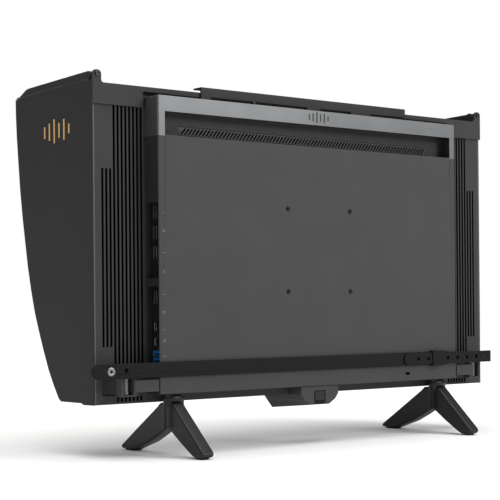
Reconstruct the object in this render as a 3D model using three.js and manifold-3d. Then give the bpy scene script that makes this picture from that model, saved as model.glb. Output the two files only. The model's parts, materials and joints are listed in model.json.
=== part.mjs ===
// A desktop monitor of the 27 inch class with a light-shading hood, standing on two short legs.
// Millimetres, +Z up. The origin is the middle of the VESA face on the back of the chassis:
// the back faces +Y, the screen faces -Y, and +X is the side with the ports.
// Heights inside the file are counted from the desk; the group at the end moves them down to that origin.
import * as THREE from "three";
import { mergeVertices } from "three/addons/utils/BufferGeometryUtils.js";
import Module from "manifold-3d";

const wasm = await Module();
wasm.setup();

// ---------------------------------------------------------------- driving sizes
const GAP = 0.3; // air between two pieces that touch

// display head
const PANEL_W = 614;
const PANEL_H = 351;
const PANEL_T = 29.7; // from the rear cover to the front of the bezel
const PANEL_LIFT = 61; // desk to the lower edge
const PANEL_WALL = 2.5;
const COVER_WALL = 5; // the grooved wall
const BEZEL_T = 3.7;
const BEZEL_SIDE = 8.6;
const BEZEL_TOP = 7.15;
const BEZEL_FOOT = 8.15;
const GLASS_T = 2.4;
const BACKLIGHT_T = 9;

// grooves and finger scoops of the rear cover
const GROOVE_PITCH = 5.15;
const GROOVE_W = 2.7;
const GROOVE_D = 3.4;
const SHORT_GROOVES = 3;
const GROOVE_FIRST = 4.5; // middle of the first one, out from the foot of the chassis
const GROOVE_LAND = 23.3; // plain strip outside the long grooves
const SHORT_INSET_TOP = 87.4;
const SHORT_INSET_FOOT = 64.2;
const LONG_INSET_TOP = 8;
const LONG_INSET_FOOT = 38;
const SCOOP_R = 15;
const SCOOP_D = 4;
const SCOOP_EDGE = 18.1; // its middle, in from the side of the display

// chassis box on the back
const CHASSIS_STEP = 69.6; // the display sticks out by this much on each side
const CHASSIS_D = 23.8;
const CHASSIS_LIFT = 10; // above the lower edge of the display
const CHASSIS_DROP = 3.5; // below its upper edge
const DRAFT = 3.2; // each side leans out by this much down to the cover
const CORNER_R = 5;
const SIDE_WALL = 4.5;
const REAR_WALL = 3;
const FLOOR_WALL = 3.4;
const CAP_BAND = 18;
const CAP_LEG_W = 9.4;
const CAP_LEG_H = 46;
const CAP_SKIN = 1.6;
const VESA = 100;
const INSERT_R = 2.9;
const INSERT_BORE_R = 1.9;
const TRAY_INSET = 27.9; // tray of the boards, in from the cavity
const TRAY_LIFT = 8.4; // above the cover

// recess under the cap and its grille
const RECESS_H = 26.5; // below the band of the cap
const RECESS_FLOOR = 8.8; // from its back to the cover
const GRILLE_EDGE = 28.5; // plain wall left at each end
const GRILLE_H = 10.2;
const GRILLE_SILL = 2.2;
const GRILLE_T = 2;
const SLOT_PITCH = 5;
const SLOT_W = 2.7;
const SLOT_LEAN = 3;

// hood
const HOOD_T = 2.4;
const HOOD_D = 175; // from the rear edge to the front top corner
const HOOD_RISE = 10.6; // side panel above the display, at the rear
const FLANGE_T = 2.7;
const FLANGE_DOWN = 16.5; // how far it comes down over the display
const FLANGE_UP = 7.5;
const STRIP_LIFT = 1.5;
const TAB_W = 11.2;
const TAB_UP = 21.2;
const TAB_R = 4.6;
const SCREW_R = 3;
const LID_LIFT = 6.5;
const LID_T = 2.5;
const LID_BACK = 17.6; // from the rear edge of the side panels to the plate of the lid
const RAIL_T = 2.2;
const HINGE_IN = 8.1;
const HINGE_UP = 15.6;
const HINGE_R = 4.7;
const HINGE_PIN_R = 1.6;
const JOINT_COVER_W = 329;
const JOINT_COVER_H = 11.2;
const JOINT_COVER_LIP = 13.6;

// strap
const STRAP_UP = 38; // its middle above the lower edge of the display
const STRAP_H = 17;
const STRAP_T = 2;
const STRAP_OFF = 1.6; // clear of the chassis
const STRAP_OVERHANG = 25; // past the eyelet
const TAIL_H = 15;
const TAIL_END = 9; // short of the side of the display
const HOLE_PITCH = 18;
const HOLE_R = 2.3;
const SPARE_HOLE_R = 2.5; // in the band, inwards of the eyelet
const SPARE_HOLE_IN = 20;
const HOLES = 8;
const EYELET_R = 4.9;
const EYELET_STEM_R = 2.3;
const EYELET_BORE_R = 1.6;
const KEEPER_W = 19;
const KEEPER_T = 1;

// brackets at the lower corners
const BRACKET_H = 13.6;
const BRACKET_T = 6;
const BRACKET_UP = 13.6; // above the lower edge of the display
const BRACKET_PIN_R = 4.2;
const BRACKET_PIN_SIDE = 6; // its axis past the inner wall of the bracket
const BRACKET_PIN_BACK = 10.15; // its axis in front of the VESA face
const BRACKET_REACH = 9; // outer plate past the axis

// legs
const LEG_INSET = 25.4; // its middle, in from the side of the chassis
const LEG_T = 16;
const LEG_FRONT = 111;
const LEG_REAR = 56.5;
const LEG_CLEAR = 1.4; // below the display
const NECK_Y = -11;
const NECK_R = 5.6;
const NECK_SPREAD = 7.6;
const LEG_SCREW_R = 2.4;
const LEG_HEAD_R = 4.8;
const LEG_HEAD_PLAY = 0.4;
const PAD_T = 1.2;

// sensor housing with its folding arm
const HOUSING_W = 60;
const HOUSING_FRONT = 25; // past the bezel
const HOUSING_DEPTH = 13.1; // below the display at the rear
const HOUSING_SLOPE = 6.6; // deeper than that at the front
const CHANNEL_W = 18;
const ARM_PLAY = 1.1; // each side of the arm in the channel
const ARM_L = 53;
const PIVOT_OUT = 10; // in front of the bezel
const PIVOT_DOWN = 4; // below the display
const ARM_PIN_R = 1.45;
const PIN_PLAY = 0.3;

// ports: [name, height above the middle of the display, length, width, depth, tongue length, tongue width]
const PORT_INSET = 1.4; // mouths behind the edge of the rear face
const SOCKETS = [
  ["hdmi_port_1", 39.5, 15, 5.6, 13, 10.5, 1.4],
  ["hdmi_port_2", 17, 15, 5.6, 13, 10.5, 1.4],
  ["hdmi_port_3", -6, 15, 5.6, 13, 10.5, 1.4],
  ["display_port", -55.5, 16, 5.6, 13, 12, 1.4],
  ["usb_c_port_1", -89.5, 9.2, 3.6, 9, 6.6, 0.9],
  ["usb_c_port_2", -106, 9.2, 3.6, 9, 6.6, 0.9],
];
const JACK_UP = -26;
const USB_A = [-119.5, -127.3];
const USB_A_W = 13;
const USB_A_H = 6;
const BAYS = [
  [-34, 51],
  [-131, -44],
];

// keys and inlet in the other side, heights above the middle of the display
const POWER_KEY_UP = -84.5;
const MENU_KEY_UP = -60.5;
const INLET_UP = -110.5;
const KEY_BAY = [-128, -46];
const PLATE_EDGE = 6.5; // a plate behind a bay reaches past it by this much
const PLATE_T = 1.6;
const LOCK_X = -148;
const LOCK_UP = -156;

// ---------------------------------------------------------------- derived places
const PW = PANEL_W / 2;
const PZ0 = PANEL_LIFT;
const PZ1 = PANEL_LIFT + PANEL_H;
const MID = (PZ0 + PZ1) / 2; // the middle of the display and of the VESA pattern
const COVER_Y = -CHASSIS_D;
const BEZEL_Y = COVER_Y - PANEL_T;
const CW = PW - CHASSIS_STEP;
const CZ0 = PZ0 + CHASSIS_LIFT;
const CZ1 = PZ1 - CHASSIS_DROP;
const CAV_X = CW - SIDE_WALL;
const LEG_X = CW - LEG_INSET;

// ---------------------------------------------------------------- helpers
const solid = (geometry) => {
  const bare = new THREE.BufferGeometry().setAttribute(
    "position",
    (geometry.index ? geometry.toNonIndexed() : geometry).getAttribute("position"),
  );
  const g = mergeVertices(bare, 1e-4);
  return new wasm.Manifold(
    new wasm.Mesh({
      numProp: 3,
      vertProperties: new Float32Array(g.attributes.position.array),
      triVerts: new Uint32Array(g.index.array),
    }),
  );
};
const box = (x0, x1, y0, y1, z0, z1) => {
  const g = new THREE.BoxGeometry(x1 - x0, y1 - y0, z1 - z0);
  g.translate((x0 + x1) / 2, (y0 + y1) / 2, (z0 + z1) / 2);
  return solid(g);
};
// a round bar along axis "x", "y" or "z" from a to b; c and d are its two other coordinates in order
const rod = (axis, r, a, b, c, d, segments = 20) => {
  const g = new THREE.CylinderGeometry(r, r, b - a, segments);
  if (axis === "x") {
    g.rotateZ(-Math.PI / 2);
    g.translate((a + b) / 2, c, d);
  } else if (axis === "y") {
    g.translate(c, (a + b) / 2, d);
  } else {
    g.rotateX(Math.PI / 2);
    g.translate(c, d, (a + b) / 2);
  }
  return solid(g);
};
const shapeOf = (pts) => new THREE.Shape(pts.map(([a, b]) => new THREE.Vector2(a, b)));
// flat outlines pushed along one axis: prismX takes (y,z) points, prismY (x,z), prismZ (x,y)
const TO_X = new THREE.Matrix4().set(0, 0, 1, 0, 1, 0, 0, 0, 0, 1, 0, 0, 0, 0, 0, 1);
const TO_Y = new THREE.Matrix4().set(1, 0, 0, 0, 0, 0, -1, 0, 0, 1, 0, 0, 0, 0, 0, 1);
const extruded = (pts, length, bevel) =>
  new THREE.ExtrudeGeometry(shapeOf(pts), { depth: length, steps: 1, bevelEnabled: false, ...bevel });
const prismZ = (pts, z0, z1) => solid(extruded(pts, z1 - z0).translate(0, 0, z0));
const prismX = (pts, x0, x1, bevel) => solid(extruded(pts, x1 - x0, bevel).applyMatrix4(TO_X).translate(x0, 0, 0));
const prismY = (pts, y0, y1) => solid(extruded(pts, y1 - y0).applyMatrix4(TO_Y).translate(0, y1, 0));
// a body between two outlines of the same number of (x,z) points, at y0 and y1
const loftY = (a, y0, b, y1) => {
  const n = a.length;
  const p = [...a.map(([x, z]) => [x, y0, z]), ...b.map(([x, z]) => [x, y1, z])];
  const tris = [];
  for (let i = 1; i < n - 1; i++) tris.push([0, i, i + 1], [n, n + i + 1, n + i]);
  for (let i = 0; i < n; i++) {
    const j = (i + 1) % n;
    tris.push([i, n + i, j], [j, n + i, n + j]);
  }
  const g = new THREE.BufferGeometry();
  g.setAttribute("position", new THREE.BufferAttribute(new Float32Array(tris.flat().flatMap((i) => p[i])), 3));
  return solid(g);
};
const add = (...s) => s.reduce((a, b) => a.add(b));
const cut = (a, ...s) => s.reduce((m, b) => m.subtract(b), a);
// the points of an arc, angles in degrees
const arc = (cx, cy, r, a0, a1, n) =>
  Array.from({ length: n + 1 }, (_, i) => {
    const a = ((a0 + ((a1 - a0) * i) / n) * Math.PI) / 180;
    return [cx + r * Math.cos(a), cy + r * Math.sin(a)];
  });
const flipX = (pts) => pts.map(([x, z]) => [-x, z]).reverse();

// ---------------------------------------------------------------- finishes
const finish = (color, roughness, metalness = 0) => new THREE.MeshStandardMaterial({ color, roughness, metalness });
const SHELL = finish(0x4d4d4e, 0.62);
const COVER = finish(0x454546, 0.66);
const HOOD = finish(0x353536, 0.7);
const TRIM = finish(0x3c3c3d, 0.6);
const ALUMINIUM = finish(0x969698, 0.34, 0.9);
const STEEL = finish(0xbfc0c2, 0.25, 1);
const DARK_STEEL = finish(0x2a2a2b, 0.4, 0.8);
const RUBBER = finish(0x2e2e2f, 0.82);
const PAD = finish(0x161616, 0.9);
const LEG = finish(0x2f2f30, 0.5, 0.3);
const GLASS = finish(0x0b0c0e, 0.12);
const BLACK = finish(0x0d0d0d, 0.55);
const BOARD = finish(0x1d4a30, 0.6);
const BLUE = finish(0x2c6aa0, 0.5);
const OPTIC = finish(0xe8eaec, 0.5);

const right = new THREE.Group(); // pieces of the -X side, drawn as the mirror image of the +X side
right.scale.x = -1;
const head = new THREE.Group();
head.position.z = -MID;
head.add(right);
const part = (name, m, material, parent = head) => {
  const mesh = m.getMesh();
  const g = new THREE.BufferGeometry();
  g.setAttribute("position", new THREE.BufferAttribute(new Float32Array(mesh.vertProperties), 3));
  g.setIndex(new THREE.BufferAttribute(new Uint32Array(mesh.triVerts), 1));
  g.computeVertexNormals();
  const o = new THREE.Mesh(g, material.clone());
  o.name = name;
  parent.add(o);
};
// the same piece on both sides
const pair = (name, m, material) => {
  part(name + "_left", m, material);
  part(name + "_right", m, material, right);
};

// ---------------------------------------------------------------- display head
const SCOOP_X = PW - SCOOP_EDGE;
const SCOOP_Z0 = PZ0 + 9.6;
const SCOOP_Z1 = PZ0 + 29;
{
  // rear cover: a tray open to the front, with grooves beside the chassis
  let m = box(-PW, PW, BEZEL_Y + BEZEL_T + GAP, COVER_Y, PZ0, PZ1);
  m = cut(
    m,
    box(-PW + PANEL_WALL, PW - PANEL_WALL, BEZEL_Y - 1, COVER_Y - COVER_WALL, PZ0 + PANEL_WALL, PZ1 - PANEL_WALL),
    box(-60, 60, COVER_Y - COVER_WALL - 1, COVER_Y + 1, MID - 86.5, MID + 63.5), // the way through for the cables
  );
  const first = CW + DRAFT + GROOVE_FIRST;
  const long = Math.floor((PW - GROOVE_LAND - first) / GROOVE_PITCH) + 1;
  for (const s of [1, -1]) {
    const groove = (i, z0, z1) => {
      const x = s * (first + i * GROOVE_PITCH);
      m = cut(m, box(x - GROOVE_W / 2, x + GROOVE_W / 2, COVER_Y - GROOVE_D, COVER_Y + 1, z0, z1));
    };
    for (let i = 0; i < long; i++) groove(i, PZ0 + LONG_INSET_FOOT, PZ1 - LONG_INSET_TOP);
    for (let i = long; i < long + SHORT_GROOVES; i++) groove(i, PZ0 + SHORT_INSET_FOOT, PZ1 - SHORT_INSET_TOP);
    for (let i = 0; i < long - 1; i++) groove(i + 0.4, PZ0 + 2.6, SCOOP_Z0 - 1.2);
    m = cut(m, rod("z", SCOOP_R, SCOOP_Z0, SCOOP_Z1, s * SCOOP_X, COVER_Y + SCOOP_R - SCOOP_D, 28));
  }
  part("display_rear_cover", m, COVER);
}
part(
  "front_bezel",
  cut(
    box(-PW, PW, BEZEL_Y, BEZEL_Y + BEZEL_T, PZ0, PZ1),
    box(-PW + BEZEL_SIDE, PW - BEZEL_SIDE, BEZEL_Y - 1, BEZEL_Y + BEZEL_T + 1, PZ0 + BEZEL_FOOT, PZ1 - BEZEL_TOP),
  ),
  BLACK,
);
const IN_X = PW - PANEL_WALL - GAP;
const IN_Z0 = PZ0 + PANEL_WALL + GAP;
const IN_Z1 = PZ1 - PANEL_WALL - GAP;
const GLASS_Y = BEZEL_Y + BEZEL_T + GAP;
part("display_glass", box(-IN_X, IN_X, GLASS_Y, GLASS_Y + GLASS_T, IN_Z0, IN_Z1), GLASS);
{
  const y = GLASS_Y + GLASS_T + GAP;
  let m = box(-IN_X, IN_X, y, y + BACKLIGHT_T, IN_Z0, IN_Z1);
  // two ribs that carry the cover
  for (const x of [-IN_X + 124, IN_X - 124])
    m = m.add(box(x - 60, x + 60, y + BACKLIGHT_T - 1, COVER_Y - COVER_WALL - GAP, MID - 96.5, MID + 93.5));
  part("backlight_unit", m, ALUMINIUM);
}

// ---------------------------------------------------------------- chassis and cap
const halfAt = (y) => CW + (-y * DRAFT) / CHASSIS_D;
// the plan of the chassis, its sides leaning out towards the cover
const planOf = (inset, top) => {
  const y0 = COVER_Y + GAP;
  const side = [
    [halfAt(y0) - inset, y0],
    [halfAt(top - 1) - inset, top - 1],
    [halfAt(top) - inset - 1, top],
  ];
  return [...side, ...side.map(([x, y]) => [-x, y]).reverse()];
};
const roundTop = (w, z0, z1, r) => [
  [-w, z0],
  [w, z0],
  ...arc(w - r, z1 - r, r, 0, 90, 4),
  ...arc(-w + r, z1 - r, r, 90, 180, 4),
];
const envelope = (inset, z0) =>
  prismZ(planOf(inset, -inset), z0, CZ1 - inset).intersect(
    prismY(roundTop(CW + DRAFT - inset, z0 - 1, CZ1 - inset, CORNER_R - inset / 2), COVER_Y - 1, 1),
  );
const outer = envelope(0, CZ0);
const CAP_Z = CZ1 - CAP_BAND;
const CAP_LEG_Z = CZ1 - CAP_LEG_H;
const FAR = CW + DRAFT + 20;
const capZone = (g) =>
  add(
    box(-FAR, FAR, COVER_Y - 5, 5, CAP_Z - g, CZ1 + 5),
    box(CW - CAP_LEG_W - g, FAR, COVER_Y - 5, 5, CAP_LEG_Z - g, CAP_Z + 1),
    box(-FAR, -CW + CAP_LEG_W + g, COVER_Y - 5, 5, CAP_LEG_Z - g, CAP_Z + 1),
  );
part("aluminium_cap", cut(outer.intersect(capZone(0)), envelope(CAP_SKIN, CZ0)), ALUMINIUM);

const RECESS_Y = COVER_Y + RECESS_FLOOR;
const RECESS_Z0 = CAP_Z - RECESS_H;
const RECESS_X = CW - CAP_LEG_W;
const GRILLE_X = RECESS_X - GRILLE_EDGE;
const GRILLE_Z0 = RECESS_Z0 + GRILLE_SILL;
const GRILLE_Z1 = GRILLE_Z0 + GRILLE_H;
const keyY = -CHASSIS_D / 2;
const KEY_R = 4.6;
const MENU_KEY_R = 5.5;
const HOLE_PLAY = 0.45;
const INLET_W = 10.8;
const INLET_H = 15.2;
{
  let m = cut(outer, cut(capZone(GAP), envelope(CAP_SKIN + GAP, CZ0 - 1)));
  // hollow, open to the front
  m = cut(
    m,
    box(-CAV_X, CAV_X, COVER_Y - 1, -REAR_WALL, CZ0 + FLOOR_WALL, RECESS_Z0 - 5),
    box(-CAV_X, CAV_X, COVER_Y - 1, -CAP_SKIN - REAR_WALL, RECESS_Z0 - 6, CZ1 - CAP_SKIN - 2.8),
  );
  // the recess with its own walls, and the opening that its grille fills
  m = m.add(box(-RECESS_X - 1.5, RECESS_X + 1.5, RECESS_Y - 1.6, -CAP_SKIN - 1, RECESS_Z0 - 2.5, CAP_Z + 3));
  m = m.add(box(-RECESS_X + GAP, RECESS_X - GAP, RECESS_Y - 1.6, 0, RECESS_Z0 - 5, RECESS_Z0));
  m = cut(
    m,
    box(-RECESS_X, RECESS_X, RECESS_Y, 5, RECESS_Z0, CAP_Z + 1.4),
    box(-GRILLE_X, GRILLE_X, COVER_Y - 1, 5, GRILLE_Z0, GRILLE_Z1),
  );
  // port bays in one side, a bay for the inlet and the keys in the other
  for (const [a, b] of BAYS) m = cut(m, box(CAV_X - 1, FAR, COVER_Y + 1.7, -1.6, MID + a, MID + b));
  m = cut(m, box(-FAR, -CAV_X + 1, COVER_Y + 1.7, -1.6, MID + KEY_BAY[0], MID + KEY_BAY[1]));
  // VESA holes, the lock slot, and the screw holes of the legs
  for (const x of [-VESA / 2, VESA / 2])
    for (const z of [MID - VESA / 2, MID + VESA / 2])
      m = cut(m, rod("y", INSERT_R + GAP, -REAR_WALL - 2, 1, x, z, 16));
  const lz = MID + LOCK_UP;
  m = cut(
    m,
    prismY([...arc(LOCK_X + 2.2, lz, 1.7, -90, 90, 5), ...arc(LOCK_X - 2.2, lz, 1.7, 90, 270, 5)], -REAR_WALL - 2, 1),
  );
  for (const x of [-LEG_X, LEG_X]) m = cut(m, rod("z", LEG_SCREW_R + 0.5, CZ0 - 1, CZ0 + FLOOR_WALL + 1, x, NECK_Y, 14));
  // the joint between its two mouldings lies under the legs of the cap
  part("rear_chassis", cut(m, box(-FAR, FAR, COVER_Y - 5, 5, RECESS_Z0, CZ1 + 5)), SHELL);
  part("recess_tray", cut(m, box(-FAR, FAR, COVER_Y - 5, 5, CZ0 - 5, RECESS_Z0 + GAP)), SHELL);
}
{
  // grille: a strip with slanted slots
  const z0 = GRILLE_Z0 + GAP;
  const z1 = GRILLE_Z1 - GAP;
  const w = GRILLE_X - GAP;
  const y1 = RECESS_Y - 0.2;
  const y0 = y1 - GRILLE_T;
  const a = z0 + 1.1;
  const b = z1 - 1.1;
  const n = Math.floor((2 * w - 9) / SLOT_PITCH);
  let m = box(-w, w, y0, y1, z0, z1);
  for (let i = 0; i <= n; i++) {
    const x = (i - n / 2) * SLOT_PITCH;
    const slot = [
      [x + SLOT_LEAN - SLOT_W / 2, a],
      [x + SLOT_LEAN + SLOT_W / 2, a],
      [x - SLOT_LEAN + SLOT_W / 2, b],
      [x - SLOT_LEAN - SLOT_W / 2, b],
    ];
    if (Math.abs(x) + SLOT_LEAN + SLOT_W / 2 < w - 1) m = cut(m, prismY(slot, y0 - 1, y1 + 1));
  }
  part("vent_grille", m, BLACK);
}
[
  [1, 1],
  [1, -1],
  [-1, 1],
  [-1, -1],
].forEach(([sx, sz], i) => {
  const x = (sx * VESA) / 2;
  const z = MID + (sz * VESA) / 2;
  part(
    "vesa_insert_" + (i + 1),
    cut(rod("y", INSERT_R, -REAR_WALL - 6, -0.15, x, z, 16), rod("y", INSERT_BORE_R, -REAR_WALL - 4.5, 1, x, z, 12)),
    DARK_STEEL,
  );
});

// ---------------------------------------------------------------- electronics
const TRAY_Y = COVER_Y + TRAY_LIFT;
const BOARD_Y = TRAY_Y + GAP;
const BOARD_T = 1.6;
const PORT_X = CW - PORT_INSET;
const PORT_Y = BOARD_Y + BOARD_T + GAP;
{
  const w = CAV_X - TRAY_INSET;
  let m = box(-w, w, TRAY_Y - 1, TRAY_Y, CZ0 + 13, RECESS_Z0 - 12);
  for (const x of [15 - w, 95 - w, w - 95, w - 15])
    for (const z of [CZ0 + 25, RECESS_Z0 - 24]) m = m.add(box(x - 6, x + 6, COVER_Y + GAP, TRAY_Y - 0.5, z - 6, z + 6));
  m = cut(m, box(-40, 40, TRAY_Y - 2, TRAY_Y + 1, MID - 66.5, MID + 43.5));
  part("board_tray", m, STEEL);
}
{
  // one board across the tray, with its larger components on the mains side
  const x = TRAY_INSET + 5 - CAV_X;
  let m = box(PORT_X - 140, PORT_X - 15, BOARD_Y, BOARD_Y + BOARD_T, MID - 113.5, MID + 63.5);
  m = m.add(box(x, x + 116, BOARD_Y, BOARD_Y + BOARD_T, MID - 140.5, MID + 63.5));
  m = m.add(box(x + 10, PORT_X - 20, BOARD_Y, BOARD_Y + BOARD_T, MID + 46.5, MID + 63.5));
  for (const [x0, x1, z0, z1, h] of [
    [10, 38, -6.5, 25.5, 8],
    [50, 84, -56.5, -22.5, 8],
    [10, 34, -116.5, -86.5, 7],
    [88, 108, -126.5, -66.5, 6],
  ])
    m = m.add(box(x + x0, x + x1, BOARD_Y + 1, BOARD_Y + BOARD_T + h, MID + z0, MID + z1));
  part("main_board", m, BOARD);
}
// what the port plate leaves free: [y0, y1, z0, z1]
const openings = [];
for (const [name, up, w, h, depth, tw, th] of SOCKETS) {
  const z = MID + up;
  const y0 = PORT_Y;
  const y1 = PORT_Y + h;
  const ym = (y0 + y1) / 2;
  const t = 0.6;
  let m = box(PORT_X - depth, PORT_X, y0, y1, z - w / 2, z + w / 2);
  m = cut(m, box(PORT_X - depth + 3, PORT_X + 1, y0 + t, y1 - t, z - w / 2 + t, z + w / 2 - t));
  m = m.add(box(PORT_X - depth + 2, PORT_X - 1.2, ym - th / 2, ym + th / 2, z - tw / 2, z + tw / 2));
  part(name, m, STEEL);
  openings.push([y0, y1, z - w / 2, z + w / 2]);
}
USB_A.forEach((up, i) => {
  const z = MID + up;
  const h = USB_A_H;
  const y1 = -REAR_WALL - 0.4;
  const y0 = y1 - USB_A_W;
  let m = box(PORT_X - 15, PORT_X, y0, y1, z - h / 2, z + h / 2);
  m = cut(m, box(PORT_X - 12, PORT_X + 1, y0 + 0.5, y1 - 0.5, z - h / 2 + 0.5, z + h / 2 - 0.5));
  m = m.add(box(PORT_X - 13, PORT_X - 1, y0 + 1.2, y1 - 1.2, z + 0.2, z + 2));
  part("usb_a_port_" + (i + 1), m, BLUE);
  openings.push([y0, y1, z - h / 2, z + h / 2]);
});
{
  const z = MID + JACK_UP;
  const y = PORT_Y + 3.2;
  let m = box(PORT_X - 13, PORT_X - 4.4, PORT_Y, PORT_Y + 6.4, z - 3.4, z + 3.4);
  m = m.add(rod("x", 3.1, PORT_X - 5, PORT_X, y, z, 20));
  m = cut(m, rod("x", 1.8, PORT_X - 12, PORT_X + 1, y, z, 16));
  part("audio_jack", m, DARK_STEEL);
  openings.push([y - 3.1, y + 3.1, z - 3.1, z + 3.1]);
}
{
  let m = box(
    CAV_X - GAP - PLATE_T,
    CAV_X - GAP,
    COVER_Y + 0.9,
    -REAR_WALL - GAP / 3,
    MID + BAYS[1][0] - PLATE_EDGE,
    MID + BAYS[0][1] + PLATE_EDGE,
  );
  for (const [y0, y1, z0, z1] of openings)
    m = cut(m, box(CAV_X - 5, CAV_X + 5, y0 - GAP, y1 + GAP, z0 - GAP, z1 + GAP));
  part("port_plate", m, BLACK);
}
const PLATE_X = -CAV_X + GAP; // outer face of the plate behind the key bay
{
  // moulded plate with the low-voltage inlet and the holes of the two keys
  const z = MID + INLET_UP;
  const x0 = -CW + 0.8;
  let m = box(x0, x0 + 18.6, keyY - INLET_W / 2, keyY + INLET_W / 2, z - INLET_H / 2, z + INLET_H / 2);
  m = m.add(
    box(
      PLATE_X,
      PLATE_X + PLATE_T,
      COVER_Y + 0.9,
      -REAR_WALL - GAP / 3,
      MID + KEY_BAY[0] - PLATE_EDGE,
      MID + KEY_BAY[1] + PLATE_EDGE,
    ),
  );
  m = cut(
    m,
    rod("x", 4.4, x0 - 1, x0 + 13.6, keyY, z, 20),
    rod("x", KEY_R + HOLE_PLAY, PLATE_X - 2, PLATE_X + 3, keyY, MID + POWER_KEY_UP, 20),
    rod("x", MENU_KEY_R + HOLE_PLAY, PLATE_X - 2, PLATE_X + 3, keyY, MID + MENU_KEY_UP, 24),
  );
  m = m.add(rod("x", 1.1, x0 + 6, x0 + 14.6, keyY, z, 10));
  part("power_inlet", m, BLACK);
}
const keyFace = -halfAt(keyY);
const keyBack = PLATE_X + PLATE_T + GAP;
for (const [name, r, up, out] of [
  ["power_button", KEY_R, POWER_KEY_UP, 1],
  ["menu_button", MENU_KEY_R, MENU_KEY_UP, 1.8],
])
  part(
    name,
    add(
      rod("x", r, keyFace - out, keyBack + 0.5, keyY, MID + up, 24),
      rod("x", r + 1.3, keyBack, keyBack + 1.4, keyY, MID + up, 24),
    ),
    TRIM,
  );

// ---------------------------------------------------------------- brackets at the lower corners
{
  const x0 = CW + 1.2;
  const x1 = SCOOP_X - 17.4;
  const z0 = PZ0 + BRACKET_UP;
  const z1 = z0 + BRACKET_H;
  const leg = 7;
  const px = x1 + BRACKET_PIN_SIDE;
  const py = -BRACKET_PIN_BACK;
  const ear = 2.9;
  const earT = 1.7;
  const plan = [
    [x0, -GAP],
    [x0, -GAP - BRACKET_T],
    [x1 - leg, -GAP - BRACKET_T],
    [x1 - leg, COVER_Y + GAP],
    [x1, COVER_Y + GAP],
    [x1, -2.3],
    [x1 - 0.6, -0.9],
    [x1 - 2, -GAP],
  ].reverse();
  const x2 = px + BRACKET_REACH;
  const back = py - 4.2;
  let m = prismZ(plan, z0, z1);
  m = m.add(box(x1 - 5.5, x2, back, -3.4, z0 - ear - earT, z0 - ear));
  m = m.add(box(x1 - 5.5, x2, back, -3.4, z1 + ear, z1 + ear + earT));
  m = m.add(box(x1 - 5.5, x1 - 0.2, back, -3.4, z0 - ear - earT, z1 + ear + earT));
  m = m.add(box(x2 - 3, x2, back, -3.4, z0 - ear - earT, z1 + ear + earT));
  m = cut(m, rod("z", BRACKET_PIN_R + 0.35, z0 - ear, z1 + ear, px, py, 18));
  pair("side_bracket", m, SHELL);
  pair("bracket_pin", rod("z", BRACKET_PIN_R, z0 - ear + GAP, z1 + ear - GAP, px, py, 18), STEEL);
}

// ---------------------------------------------------------------- hood
const HX0 = PW + GAP; // inner face of a side panel
const HX1 = HX0 + HOOD_T;
const HY = COVER_Y - 0.1; // rear edge of the side panels
const HFRONT = HY - HOOD_D;
const HZ0 = PZ0 - 0.2;
const HZ1 = PZ1 + HOOD_RISE;
{
  // the front edge as [share of the depth, share of the height], from the foot upwards
  const edge = [
    [0.446, 0.013],
    [0.513, 0.056],
    [0.575, 0.102],
    [0.642, 0.165],
    [0.704, 0.229],
    [0.754, 0.285],
    [0.799, 0.352],
    [0.844, 0.432],
    [0.883, 0.523],
    [0.917, 0.606],
    [0.945, 0.691],
    [0.967, 0.78],
    [0.987, 0.868],
    [0.997, 0.937],
    [1, 0.989],
  ].map(([d, h]) => [HY - HOOD_D * d, HZ0 + (HZ1 - HZ0) * h]);
  const outline = [
    [HY, HZ0],
    [HY - HOOD_D * 0.132, HZ0 - 0.4],
    [HY - HOOD_D * 0.155, HZ0 + 1.4],
    [HY - HOOD_D * 0.418, HZ0 + 1.2],
    ...edge,
    [HFRONT, HZ1 - 3.3],
    [HFRONT + HOOD_D * 0.083, HZ1 - 2.4],
    [HFRONT + HOOD_D * 0.33, HZ1 - 0.7],
    [HY, HZ1],
  ].reverse();
  let m = prismX(outline, HX0, HX1);
  // a rib in front of the bezel
  m = m.add(box(HX0 - 2, HX0 + 1, BEZEL_Y - 3.4, BEZEL_Y - 1, PZ0 + 5, PZ1 - 4));
  pair("hood_side", m, HOOD);
}
const FLANGE_Y = COVER_Y + GAP + FLANGE_T;
const FLANGE_Z1 = PZ1 + FLANGE_UP;
const HINGE_Y = HY - HINGE_IN;
const HINGE_Z = PZ1 + HINGE_UP;
const TAB_SCREW_X = HX1 - TAB_W / 2;
const TAB_SCREW_Z = PZ1 + TAB_UP - TAB_R;
{
  // rear flange: hangs on the top edge of the display, notched over the chassis
  const notch = halfAt(COVER_Y) + 3.4;
  const top = PZ1 + TAB_UP;
  const half = [
    [notch - 1.5, PZ1 + STRIP_LIFT],
    [notch, PZ1 + STRIP_LIFT - 1.5],
    [notch, PZ1 - FLANGE_DOWN],
    [HX1, PZ1 - FLANGE_DOWN],
    ...arc(HX1 - TAB_R, top - TAB_R, TAB_R, 0, 90, 5),
    ...arc(HX1 - TAB_W + TAB_R, top - TAB_R, TAB_R, 90, 180, 5),
    [HX1 - TAB_W, FLANGE_Z1 + 2.6],
    [HX1 - TAB_W - 0.8, FLANGE_Z1 + 0.8],
    [HX1 - TAB_W - 2.6, FLANGE_Z1],
  ];
  const y0 = COVER_Y + GAP;
  let m = prismY([...half, ...flipX(half)], y0, FLANGE_Y);
  m = m.add(box(-PW, PW, BEZEL_Y + 4, y0 + 1, PZ1 + GAP + 0.1, PZ1 + 2.8));
  for (const s of [1, -1]) m = cut(m, rod("y", 1.6, y0 - 1, FLANGE_Y + 1, s * TAB_SCREW_X, TAB_SCREW_Z, 14));
  part("hood_rear_flange", m, SHELL);
}
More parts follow.
